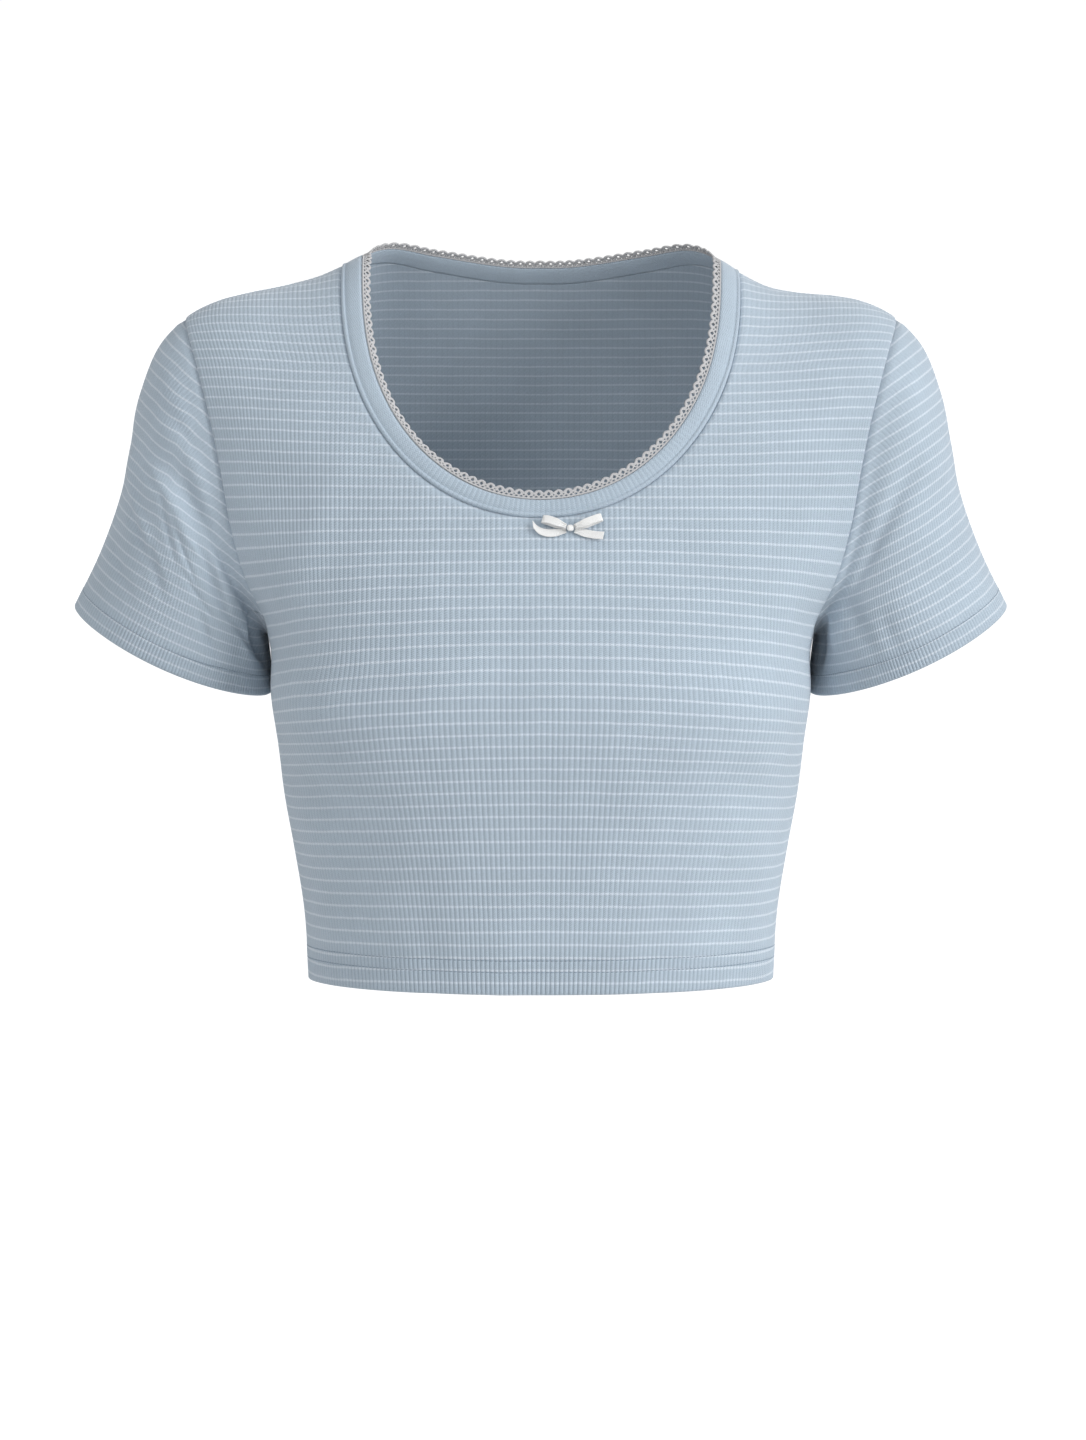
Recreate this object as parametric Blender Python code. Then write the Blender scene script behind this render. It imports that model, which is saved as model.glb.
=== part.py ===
# Short-sleeved crop top in rib knit, in the open form it has when worn: two body panels, two
# set-in sleeves, a bound scoop neckline with picot edging, and a ribbon bow.
# Frame: +Z up, the front faces -Y, the wearer's left is +X. The origin lies between the
# shoulders, about level with the neck ends of the shoulder seams. Tables are in millimetres
# and degrees.
import math

import bmesh
import bpy
import numpy as np

MM = 0.001

# Cloth
WALL = 1.2 * MM               # plain thickness of the rib knit
RIB_HEIGHT = 0.6 * MM         # how far a rib stands out of the wall
SEAM_GAP = 0.3 * MM           # space between two pieces at a seam
HEM_HEIGHT = 17 * MM          # turned-up hem of the body
CUFF_HEIGHT = 12 * MM         # turned-up hem of a sleeve
HEM_EXTRA = 0.9 * MM          # extra thickness of a turned-up hem, on the inside
HEM_STEP = 1.0 * MM           # height over which that thickness ends

# Rib columns of a panel, counted from its centre: two for each modelled rib, its groove and its
# ridge, and each modelled rib stands for two knitted ones
SIDE_COLUMN = 70              # on the side seam
ARM_COLUMN = 60               # runs into the shoulder tip, along the upper armhole
NECK_COLUMN = 34              # runs into the top of the neckline, along its upper part
INNER_COLUMNS = (0, 5, 10, 15, 20, 25, 30, 34, 39, 44, 49, 54, 60, 65, 70)

# Heights of the body
HEM_FRONT = -380              # hem at the centre front
HEM_SIDE = -390.5             # hem at the sides and behind
UNDERARM = -204               # foot of the armhole, on the side seam
ARM_LINE = -188               # the armhole cuts the ribs below this, and runs along one above
GATHER_FOOT = -265            # from here up the ribs draw in towards the armhole and the neck
ARM_POWER = 2.0               # curve of the lower armhole
BODY_ROWS = 5                 # rows from the hem to the arm line

# Horizontal sections of the worn form: superellipses, a row for each height
SECTION_POINTS = 241          # places at which a section is measured, from the centre to the side
SECTION_COLUMNS = ("z", "half_width", "front_depth", "back_depth", "front_power", "back_power")
SECTIONS = (
    (-420, 123.5, 93, 76, 2.4, 2.4),
    (-385, 124.8, 96, 77, 2.4, 2.4),
    (-350, 126.7, 100, 80, 2.45, 2.4),
    (-315, 131.8, 104.5, 83, 2.55, 2.4),
    (-285, 136.7, 110, 86, 2.7, 2.4),
    (-255, 139.8, 116, 89, 2.95, 2.4),
    (-230, 142.9, 119, 90, 3.05, 2.4),
    (-204, 143.3, 117, 91, 2.95, 2.4),
    (-196, 145.5, 115, 91, 2.88, 2.4),
    (-188, 148.8, 113, 91, 2.8, 2.4),
    (-166, 167.5, 105, 91, 2.6, 2.4),
    (-130, 187.0, 92, 88, 2.45, 2.4),
    (-100, 197.0, 82, 82, 2.4, 2.4),
    (-60, 206.0, 67, 73, 2.4, 2.4),
    (-30, 211.0, 56, 63, 2.4, 2.4),
    (10, 214.0, 42, 48, 2.4, 2.4),
)

# Shoulder ridge, and the height over which the chest rounds into it, a row for each place across
RIDGE_POWER = 2.2
RIDGE_COLUMNS = ("x", "z", "round")
RIDGE = (
    (0, 14, 92),
    (60, 11, 90),
    (83, 6.5, 86),
    (102, -5, 80),
    (116, -11.5, 76),
    (136, -17, 70),
    (158, -21.5, 60),
    (171, -25, 53),
    (184, -31, 46),
    (194, -38, 43),
)
SHOULDER_DROP = 4.5           # the wearer's left shoulder hangs lower by this much
SHOULDER_DROP_PLACE = (122, -12)
SHOULDER_DROP_REACH = (32, 60)

# Upper armhole seam of each panel, a row for each height
ARMHOLE_COLUMNS = ("z", "front_x", "back_x")
ARMHOLE = (
    (-188, 144.8, 144.6),
    (-166, 154.5, 158.0),
    (-140, 162.0, 166.5),
    (-115, 166.5, 171.5),
    (-92, 171.0, 175.0),
    (-70, 176.5, 179.5),
    (-50, 182.5, 184.5),
    (-34, 188.5, 188.5),
)

# Neckline seam
NECK_HALF = 105               # from the centre to its top
NECK_TOP = -6.5
NECK_POWERS = (2.05, 2.25)    # roundness of the front across and down
NECK_LOWEST = -131.5          # at the centre front
NECK_FOOT = -55               # in front the neck column runs along the neckline above this
NECK_BACK_DROP = 31           # of the centre back below the shoulder ridge
FRONT_CHEST = (0.0, 0.14, 0.32, 0.53, 0.731, 0.85, 0.93, 0.985, 1.0)
BACK_CHEST = (0.0, 0.18, 0.45, 0.75, 0.92, 0.98, 0.9994, 1.0)
CHEST_FOOT_ROWS = {"front": 4, "back": 6}   # rows from the arm line to the neckline

# Sleeves, a row for each ring: its upper and lower point seen from the front
SLEEVE_COLUMNS = ("along", "top_x", "top_z", "low_x", "low_z", "half_depth", "drop")
SLEEVE = (
    (0.00, 188.5, -34.0, 143.3, -203.0, 56.0, 0.0),
    (0.10, 201.0, -48.0, 146.2, -202.0, 57.0, 0.0),
    (0.25, 212.0, -73.0, 146.4, -207.0, 58.0, 0.5),
    (0.42, 217.5, -99.0, 146.4, -213.0, 59.0, 1.0),
    (0.60, 222.5, -125.0, 146.3, -219.0, 59.0, 2.0),
    (0.80, 234.0, -157.0, 146.2, -226.5, 58.5, 3.0),
    (1.00, 249.0, -187.5, 146.1, -234.0, 58.0, 4.0),
)
SLEEVE_RINGS = (0.0, 0.03, 0.10, 0.23, 0.39, 0.57, 0.75)
SLEEVE_LENGTH = 170           # along the top, from the shoulder tip to the cuff
SLEEVE_GIRTH = 360
SLEEVE_SIDES = 100            # grid columns round a sleeve, two for each modelled rib
SEAM_ROLL = 2.6               # the sleeve swells out of the armhole seam by this much
SEAM_ROLL_REACH = 0.04        # part of the sleeve's length at which that swelling is largest
UNDER_ROLL = 2.6              # and this far off the panel, where it turns back down under the arm
UNDER_ROLL_REACH = 0.14
UNDER_ROLL_TURN = 0.55        # cosine of the turn between panel and sleeve past which it starts

# Soft folds: the place of each on its piece (round from the centre or from the sleeve's top
# line, and height or distance down the sleeve), its size, its turn and its height
FOLD_FADE_COLUMNS = 6         # folds fade within this many columns of a panel's side seam
FOLD_FADE_SLEEVE = 0.1        # and within this part of a sleeve's length from its seam
FOLD_COLUMNS = ("piece", "across", "along", "length", "width", "turn", "height")
FOLDS = (
    ("right_sleeve", 26, 52, 55, 9, 50, 2.2),
    ("right_sleeve", 34, 74, 60, 9, 46, -2.2),
    ("right_sleeve", 22, 100, 50, 9, 40, 1.8),
    ("right_sleeve", 62, 112, 45, 10, 30, -1.6),
    ("right_sleeve", -60, 80, 60, 12, -40, 1.8),
    ("left_sleeve", 30, 62, 55, 11, 46, 1.6),
    ("left_sleeve", 44, 92, 60, 11, 40, -1.6),
    ("left_sleeve", 120, 128, 40, 10, 10, 1.8),
    ("left_sleeve", -56, 84, 60, 12, -36, 1.8),
    ("front_panel", -150, -232, 60, 11, 62, 1.6),
    ("front_panel", 150, -228, 60, 11, -62, 1.4),
    ("front_panel", -128, -96, 70, 14, -12, 1.2),
    ("front_panel", 132, -104, 70, 14, 12, 1.0),
    ("back_panel", -120, -262, 80, 14, 60, 1.8),
    ("back_panel", 116, -270, 80, 14, -60, 1.8),
    ("back_panel", 0, -330, 90, 12, 88, 1.5),
)

# Neck binding and picot edging
BINDING_SIDE = 11.5           # width beside the neck
BINDING_FRONT = 9.5           # width at the centre front
PIPING_WIDTH = 3.6            # raised ridge along the binding's outer seam
PIPING_HEIGHT = 0.9
PICOT_COUNT = 118             # scallops round the whole neckline
PICOT_LOW = 1.6               # width of the edging between two scallops
PICOT_HIGH = 4.4              # width of the edging at a scallop
PICOT_WALL = 1.0

# Ribbon bow: place of the knot, and the run of each loop and tail from it, seen from the front
BOW_X = 15.2
BOW_Z = -137.3
BOW_STAND = 2.2               # the ribbon's middle stands this far out of the cloth
RIBBON_WIDTH = 4.8
RIBBON_WALL = 0.6
RIBBON_PINCH = 0.55           # part of the ribbon's width where it enters the knot
KNOT_SIZE = (5.6, 4.2, 5.4)
RIBBONS = (                   # name, and points across, up and out of the cloth from the knot
    ("bow_left_loop", ((-3.2, 0.6, 0.8), (-8.0, 2.2, 1.9), (-13.2, 3.2, 1.9), (-15.4, 3.3, 1.5),
                       (-16.2, 3.2, 0.65), (-15.4, 3.1, -0.2), (-13.2, 2.8, -0.6), (-8.0, 1.6, -0.6),
                       (-3.2, 0.4, -0.6))),
    ("bow_right_loop", ((3.2, 0.6, 0.8), (8.0, 2.5, 1.9), (13.4, 4.4, 1.9), (15.8, 5.0, 1.5),
                        (16.6, 5.1, 0.65), (15.8, 4.9, -0.2), (13.4, 4.1, -0.6), (8.0, 2.1, -0.6),
                        (3.2, 0.4, -0.6))),
    ("bow_left_tail", ((-3.2, -0.9, -1.6), (-8.0, -1.4, -1.5), (-14.0, -1.2, -1.5), (-19.0, -0.2, -1.3))),
    ("bow_right_tail", ((3.2, -1.2, -1.6), (8.0, -2.2, -1.5), (14.0, -3.2, -1.5), (19.5, -3.6, -1.3))),
)

KNIT_BLUE = (0.42, 0.53, 0.64, 1.0)
BINDING_BLUE = (0.40, 0.52, 0.63, 1.0)
PICOT_GREY = (0.62, 0.64, 0.66, 1.0)
SATIN_WHITE = (0.88, 0.89, 0.88, 1.0)


def smoothCurve(at, height):
    """Smooth curve through the points of a table: cubic pieces with slopes from the neighbours."""
    at = np.array(at, float)
    height = np.array(height, float)
    slope = np.gradient(height, at, axis=0)

    def curve(x):
        x = np.clip(np.asarray(x, float), at[0], at[-1])
        i = np.clip(np.searchsorted(at, x) - 1, 0, len(at) - 2)
        span = at[i + 1] - at[i]
        t = (x - at[i]) / span
        if height.ndim > 1:
            span = span[..., None]
            t = t[..., None]
        start = (1 + 2 * t) * (1 - t) ** 2 * height[i] + t * (1 - t) ** 2 * span * slope[i]
        end = t * t * (3 - 2 * t) * height[i + 1] - t * t * (1 - t) * span * slope[i + 1]
        return start + end

    return curve


def tableCurve(rows, names, key, value):
    """Smooth curve of one named column of a table over another."""
    return smoothCurve([row[names.index(key)] for row in rows], [row[names.index(value)] for row in rows])


def unit(vectors):
    return vectors / np.maximum(np.linalg.norm(vectors, axis=-1, keepdims=True), 1e-12)


def foldHeight(piece, across, along):
    """Height of the soft folds of a piece, in millimetres: long round-ended swellings."""
    total = np.zeros(np.broadcast(across, along).shape)
    for row in FOLDS:
        fold = dict(zip(FOLD_COLUMNS, row))
        if fold["piece"] == piece:
            c = math.cos(math.radians(fold["turn"]))
            s = math.sin(math.radians(fold["turn"]))
            right = across - fold["across"]
            up = along - fold["along"]
            run = (right * c + up * s) / (fold["length"] / 2)
            off = (up * c - right * s) / fold["width"]
            total += fold["height"] * np.exp(-run ** 2 - off ** 2)
    return total


class Form:
    """The front or the back of the worn form, with its sections measured along their length."""

    def __init__(self, name):
        self.name = name
        self.front = name == "front"
        self.sign = -1 if self.front else 1
        depth = tableCurve(SECTIONS, SECTION_COLUMNS, "z", name + "_depth")
        halfWidth = tableCurve(SECTIONS, SECTION_COLUMNS, "z", "half_width")
        power = tableCurve(SECTIONS, SECTION_COLUMNS, "z", name + "_power")
        self.armhole = tableCurve(ARMHOLE, ARMHOLE_COLUMNS, "z", name + "_x")
        self.ridge = tableCurve(RIDGE, RIDGE_COLUMNS, "x", "z")
        self.round = tableCurve(RIDGE, RIDGE_COLUMNS, "x", "round")
        self.levels = np.arange(SECTIONS[0][0], SECTIONS[-1][0] + 1.0)
        angle = np.linspace(0, math.pi / 2, SECTION_POINTS)
        root = 2 / power(self.levels)[:, None]
        self.x = halfWidth(self.levels)[:, None] * np.sin(angle) ** root
        self.y = depth(self.levels)[:, None] * np.cos(angle) ** root
        step = np.hypot(np.diff(self.x, axis=1), np.diff(self.y, axis=1))
        self.arc = np.pad(np.cumsum(step, axis=1), ((0, 0), (1, 0)))
        self.girth = self.arc[self.level(UNDERARM), -1]
        self.spreadTable = np.array([self.columnSpread(max(z, ARM_LINE)) for z in self.levels])

    def level(self, z):
        return int(np.clip(round(z - self.levels[0]), 0, len(self.levels) - 1))

    def arcTo(self, x, z):
        row = self.level(z)
        return float(np.interp(x, self.x[row], self.arc[row]))

    def neckX(self, z):
        """Place across of the neck column, which goes straight up to the neckline's top behind."""
        if not self.front:
            return NECK_HALF
        down = np.clip((NECK_TOP - max(z, NECK_FOOT)) / (NECK_TOP - NECK_LOWEST), 0, 1)
        return NECK_HALF * (1 - down ** NECK_POWERS[1]) ** (1 / NECK_POWERS[0])

    def neckZ(self, x):
        """Height of the neckline: a deep scoop in front, a shallow one off the ridge behind."""
        out = np.clip(np.abs(x) / NECK_HALF, 0, 1)
        if not self.front:
            return self.ridge(x) - NECK_BACK_DROP * (1 - out ** 2)
        return NECK_TOP - (NECK_TOP - NECK_LOWEST) * (1 - out ** NECK_POWERS[0]) ** (1 / NECK_POWERS[1])

    def columnSpread(self, z):
        """Factors of the shift a*s + b*s^3 that puts the neck and arm columns on their seams."""
        neck = NECK_COLUMN / SIDE_COLUMN
        arm = ARM_COLUMN / SIDE_COLUMN
        neckOff = self.arcTo(self.neckX(z), z) - neck * self.girth
        armOff = self.arcTo(float(self.armhole(z)), z) - arm * self.girth
        b = (armOff / arm - neckOff / neck) / (arm ** 2 - neck ** 2)
        return neckOff / neck - b * neck ** 2, b

    def section(self, arc, z):
        """Place on the section at height z, arc millimetres round from the centre."""
        place = np.clip(z - self.levels[0], 0, len(self.levels) - 1.001)
        low = place.astype(int)
        part = place - low
        x = np.zeros_like(z)
        y = np.zeros_like(z)
        for row in np.unique(low):
            here = low == row
            for level, share in ((row, 1 - part[here]), (row + 1, part[here])):
                x[here] += share * np.interp(arc[here], self.arc[level], self.x[level])
                y[here] += share * np.interp(arc[here], self.arc[level], self.y[level])
        return x, y

    def place(self, column, z):
        """Place of a rib column at height z, all in millimetres."""
        share = np.abs(column) / SIDE_COLUMN
        arc = share * np.interp(np.minimum(z, UNDERARM), self.levels, self.arc[:, -1])
        rise = np.clip((z - GATHER_FOOT) / (ARM_LINE - GATHER_FOOT), 0, 1)
        rise = rise * rise * (3 - 2 * rise)
        edge = ARM_COLUMN / SIDE_COLUMN
        inner = np.minimum(share, edge)
        a = np.interp(z, self.levels, self.spreadTable[:, 0])
        b = np.interp(z, self.levels, self.spreadTable[:, 1])
        fade = np.minimum((1 - share) / (1 - edge), 1)
        arc = arc + rise * fade * (a * inner + b * inner ** 3)
        x, y = self.section(arc, z)
        fall = np.clip((self.ridge(x) - z) / self.round(x), 0, 1)
        y = y * (1 - (1 - fall) ** RIDGE_POWER) ** (1 / RIDGE_POWER)
        return np.sign(column) * x, self.sign * (y + SEAM_GAP / MM / 2), arc

    def top(self, column):
        """Height at which a rib column ends: neckline, shoulder seam or lower armhole."""
        z = np.full(column.shape, -60.0)
        for _ in range(12):
            x = np.abs(self.place(column, z)[0])
            z = np.where(np.abs(column) < NECK_COLUMN, self.neckZ(x), self.ridge(x))
        return z

    def hem(self, column):
        if not self.front:
            return np.full(column.shape, float(HEM_SIDE))
        share = np.abs(column) / SIDE_COLUMN
        return HEM_FRONT + (HEM_SIDE - HEM_FRONT) * share ** 3


def gridNormals(points, sign):
    across = np.gradient(points, axis=1)
    up = np.gradient(points, axis=0)
    return unit(np.cross(across, up)) * sign


class Panel:
    """Grid of one body panel: rows from the hem up, columns along the ribs."""

    def __init__(self, face):
        form = Form(face)
        self.form = form
        self.name = face + "_panel"
        self.columns = np.arange(-SIDE_COLUMN, SIDE_COLUMN + 1)
        chest = FRONT_CHEST if form.front else BACK_CHEST
        self.armRow = 2 + BODY_ROWS
        self.neckRow = self.armRow + CHEST_FOOT_ROWS[face]
        self.topRow = self.armRow + len(chest) - 1
        column = self.columns.astype(float)
        far = np.abs(column)
        hem = form.hem(column)
        out = np.clip((far - ARM_COLUMN) / (SIDE_COLUMN - ARM_COLUMN), 0, 1)
        armLine = UNDERARM + (ARM_LINE - UNDERARM) * (1 - out) ** ARM_POWER
        bandTop = hem + HEM_HEIGHT / MM
        rows = [hem, bandTop, bandTop + HEM_STEP / MM]
        for row in range(1, BODY_ROWS + 1):
            rows.append(rows[2] + (armLine - rows[2]) * row / BODY_ROWS)
        inner = far < NECK_COLUMN
        neck = form.top(np.where(inner, column, 0.0))
        ridge = form.top(np.clip(far, NECK_COLUMN, ARM_COLUMN))
        foot = chest[CHEST_FOOT_ROWS[face]]
        for part in chest[1:]:
            rise = np.where(inner, np.minimum(part / foot, 1) * (neck - ARM_LINE), part * (ridge - ARM_LINE))
            rows.append(ARM_LINE + rise)
        self.z = np.array(rows)
        self.grid = np.broadcast_to(column, self.z.shape)
        x, y, self.arc = form.place(self.grid, self.z)
        offX = (x - SHOULDER_DROP_PLACE[0]) / SHOULDER_DROP_REACH[0]
        offZ = (self.z - SHOULDER_DROP_PLACE[1]) / SHOULDER_DROP_REACH[1]
        z = self.z - SHOULDER_DROP * np.exp(-offX ** 2 - offZ ** 2)
        self.points = np.stack((x, y, z), axis=-1) * MM
        self.normals = self.blockNormals()
        self.cells = self.cellMask()
        seamFade = np.clip((SIDE_COLUMN - np.abs(self.grid)) / FOLD_FADE_COLUMNS, 0, 1)
        folds = foldHeight(self.name, np.sign(self.grid) * self.arc, self.z) * seamFade
        self.points = self.points + self.normals * folds[..., None] * MM

    def blockNormals(self):
        """Normals of each block of the grid, from its own cells, upright along the seams."""
        sign = -self.form.sign
        normals = np.zeros_like(self.points)
        arm = slice(SIDE_COLUMN - ARM_COLUMN, SIDE_COLUMN + ARM_COLUMN + 1)
        normals[:] = gridNormals(self.points, sign)
        lower = gridNormals(self.points[:self.armRow + 1], sign)
        normals[:self.armRow + 1] = lower
        middle = gridNormals(self.points[:self.neckRow + 1, arm], sign)
        normals[self.armRow:self.neckRow + 1, arm] = middle[self.armRow:]
        for left in (SIDE_COLUMN - ARM_COLUMN, SIDE_COLUMN + NECK_COLUMN):
            shoulder = slice(left, left + ARM_COLUMN - NECK_COLUMN + 1)
            upper = gridNormals(self.points[:, shoulder], sign)
            normals[self.neckRow:, shoulder] = upper[self.neckRow:]
        normals[:self.armRow + 1, [0, -1], 1] = 0
        normals[self.topRow, :, 1] = 0
        return unit(normals)

    def cellMask(self):
        """True for each grid cell that is cloth."""
        middle = np.abs((self.columns[:-1] + self.columns[1:]) / 2)
        cells = np.zeros((self.topRow, len(middle)), bool)
        cells[:self.armRow] = True
        cells[self.armRow:self.neckRow] = middle < ARM_COLUMN
        cells[self.neckRow:] = (middle < ARM_COLUMN) & (middle > NECK_COLUMN)
        return cells

    def neckPath(self):
        """Grid places of the neckline, from the wearer's right to the left."""
        left = SIDE_COLUMN - NECK_COLUMN
        right = SIDE_COLUMN + NECK_COLUMN
        down = [(row, left) for row in range(self.topRow, self.neckRow, -1)]
        columns = sorted({left + 1, right - 1, *range(left, right + 1, 2)})
        along = [(self.neckRow, column) for column in columns]
        up = [(row, right) for row in range(self.neckRow + 1, self.topRow + 1)]
        return down + along + up

    def armPath(self, side):
        """Grid places of the armhole, from the shoulder tip to the underarm."""
        tip = SIDE_COLUMN + side * ARM_COLUMN
        down = [(row, tip) for row in range(self.topRow, self.armRow, -1)]
        out = [(self.armRow, SIDE_COLUMN + side * column) for column in range(ARM_COLUMN, SIDE_COLUMN + 1)]
        return down + out

    def at(self, path):
        rows = [place[0] for place in path]
        columns = [place[1] for place in path]
        return self.points[rows, columns], self.normals[rows, columns]


def material(name, color, roughness):
    shade = bpy.data.materials.new(name)
    shade.use_nodes = True
    shader = shade.node_tree.nodes["Principled BSDF"]
    shader.inputs["Base Color"].default_value = color
    shader.inputs["Roughness"].default_value = roughness
    shader.inputs["Metallic"].default_value = 0.0
    shade.diffuse_color = color
    return shade


def addObject(name, points, faces, color, roughness=0.9):
    """One closed mesh as an object: unused points go, and its faces are turned outwards."""
    mesh = bpy.data.meshes.new(name)
    mesh.from_pydata([tuple(point) for point in points], [], faces)
    work = bmesh.new()
    work.from_mesh(mesh)
    bmesh.ops.delete(work, geom=[v for v in work.verts if not v.link_faces], context="VERTS")
    bmesh.ops.recalc_face_normals(work, faces=work.faces)
    work.to_mesh(mesh)
    work.free()
    mesh.shade_smooth()
    piece = bpy.data.objects.new(name, mesh)
    piece.data.materials.append(material(name, color, roughness))
    bpy.context.scene.collection.objects.link(piece)
    return piece


def fan(run, pair):
    """Triangles between a run of points and the two ends of the line opposite."""
    middle = len(run) // 2
    faces = [(pair[0], run[i], run[i + 1]) for i in range(middle)]
    faces += [(pair[1], run[i], run[i + 1]) for i in range(middle, len(run) - 1)]
    faces.append((pair[0], run[middle], pair[1]))
    return faces


def wallFaces(cells, keep, stepRow, closed=False):
    """Faces of a cloth wall: ribbed outer cells, sparse inner cells and the rims between them.

    Outer points come first in the mesh. The inner face uses the kept columns, and every column
    along its rims. The outer face leaves out stepRow, where only the inner thickness changes."""
    rows = cells.shape[0] + 1
    columns = cells.shape[1] if closed else cells.shape[1] + 1
    count = rows * columns

    def outer(row, column):
        return int(row * columns + column % columns)

    def inner(row, column):
        return int(count + row * columns + column % columns)

    faces = []
    outerRows = [row for row in range(rows) if row != stepRow]
    for low, high in zip(outerRows[:-1], outerRows[1:]):
        for column in np.nonzero(cells[low])[0]:
            faces.append((outer(low, column), outer(low, column + 1),
                          outer(high, column + 1), outer(high, column)))
    filled = np.pad(cells, ((1, 1), (0, 0)))
    for start, end in zip(keep[:-1], keep[1:]):
        rim = [filled[row, start] != filled[row + 1, start] for row in range(rows)]
        for row in range(rows):
            if rim[row]:
                for column in range(start, end):
                    faces.append((outer(row, column), outer(row, column + 1),
                                  inner(row, column + 1), inner(row, column)))
        for row in np.nonzero(cells[:, start])[0]:
            low = [inner(row, column) for column in range(start, end + 1)]
            high = [inner(row + 1, column) for column in range(start, end + 1)]
            if rim[row]:
                faces += fan(low, (high[0], high[-1]))
            elif rim[row + 1]:
                faces += fan(high, (low[0], low[-1]))
            else:
                faces.append((low[0], low[-1], high[-1], high[0]))
    if not closed:
        for column in keep:
            for low, high in zip(outerRows[:-1], outerRows[1:]):
                left = column > 0 and cells[low, column - 1]
                right = column < columns - 1 and cells[low, column]
                if left != right:
                    side = [inner(row, column) for row in range(low, high + 1)]
                    faces.append((outer(low, column), outer(high, column), *side[::-1]))
    return faces


def buildPanel(panel):
    """Ribbed wall of a body panel with its turned-up hem."""
    ridge = (np.abs(panel.columns) % 2 == 1) * RIB_HEIGHT
    outer = panel.points + panel.normals * (WALL / 2 + ridge)[None, :, None]
    depth = np.full(len(panel.points), WALL / 2)
    depth[:2] += HEM_EXTRA
    inner = panel.points - panel.normals * depth[:, None, None]
    keep = sorted({SIDE_COLUMN + side * column for column in INNER_COLUMNS for side in (-1, 1)})
    points = np.concatenate((outer.reshape(-1, 3), inner.reshape(-1, 3)))
    return addObject(panel.name, points, wallFaces(panel.cells, keep, 1), KNIT_BLUE)


def joinPaths(front, back, frontPath, backPath):
    """Closed seam line through a front and a back path that meet at both ends."""
    frontPoints, frontNormals = front.at(frontPath)
    backPoints, backNormals = back.at(backPath)
    points = [(frontPoints[0] + backPoints[0]) / 2, *frontPoints[1:-1],
              (frontPoints[-1] + backPoints[-1]) / 2, *backPoints[-2:0:-1]]
    normals = [frontNormals[0] + backNormals[0], *frontNormals[1:-1],
               frontNormals[-1] + backNormals[-1], *backNormals[-2:0:-1]]
    return np.array(points), unit(np.array(normals))


def outwardOf(points, normals, centre):
    """Direction in the cloth's surface across a closed seam line, away from the panels."""
    along = np.roll(points, -1, axis=0) - np.roll(points, 1, axis=0)
    across = unit(np.cross(along, normals))
    toCentre = np.sum(across * (centre - points), axis=1)
    return across if np.sum(toCentre) > 0 else -across


def spreadAlong(points, normals, count):
    """Points spread evenly on a closed line of straight runs, with one on each of its corners."""
    ends = np.concatenate((points, points[:1]))
    length = np.concatenate(([0], np.cumsum(np.linalg.norm(np.diff(ends, axis=0), axis=1))))
    slots = np.round(length / length[-1] * count).astype(int)
    for i in range(1, len(slots)):
        slots[i] = max(slots[i], slots[i - 1] + 1)
    place = np.interp(np.arange(count), slots, np.arange(len(slots)))
    low = place.astype(int)
    part = (place - low)[:, None]
    loop = np.concatenate((normals, normals[:1]))
    return ends[low] * (1 - part) + ends[low + 1] * part, unit(loop[low] * (1 - part) + loop[low + 1] * part)


def ringRow(along):
    """Sizes of the sleeve's ring at a part of its length, in the order of the table's columns."""
    return [float(tableCurve(SLEEVE, SLEEVE_COLUMNS, "along", name)(along)) for name in SLEEVE_COLUMNS[1:]]


def sleeveRing(along, turn, side):
    """Points of the sleeve's smooth ring at a part of its length: an ellipse from its upper to
    its lower point, its front and back hanging lower by the drop. turn is 0 at the top."""
    topX, topZ, lowX, lowZ, half, drop = ringRow(along)
    c = np.cos(turn)
    s = np.sin(turn)
    x = (topX + lowX) / 2 + (topX - lowX) / 2 * c
    z = (topZ + lowZ) / 2 + (topZ - lowZ) / 2 * c - drop * s * s
    return np.stack((side * x, -half * s, z), axis=-1) * MM


def swelling(along, reach):
    """Rises from 0 to 1 at the reach, then fades."""
    return along / reach * math.exp(1 - along / reach)


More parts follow.
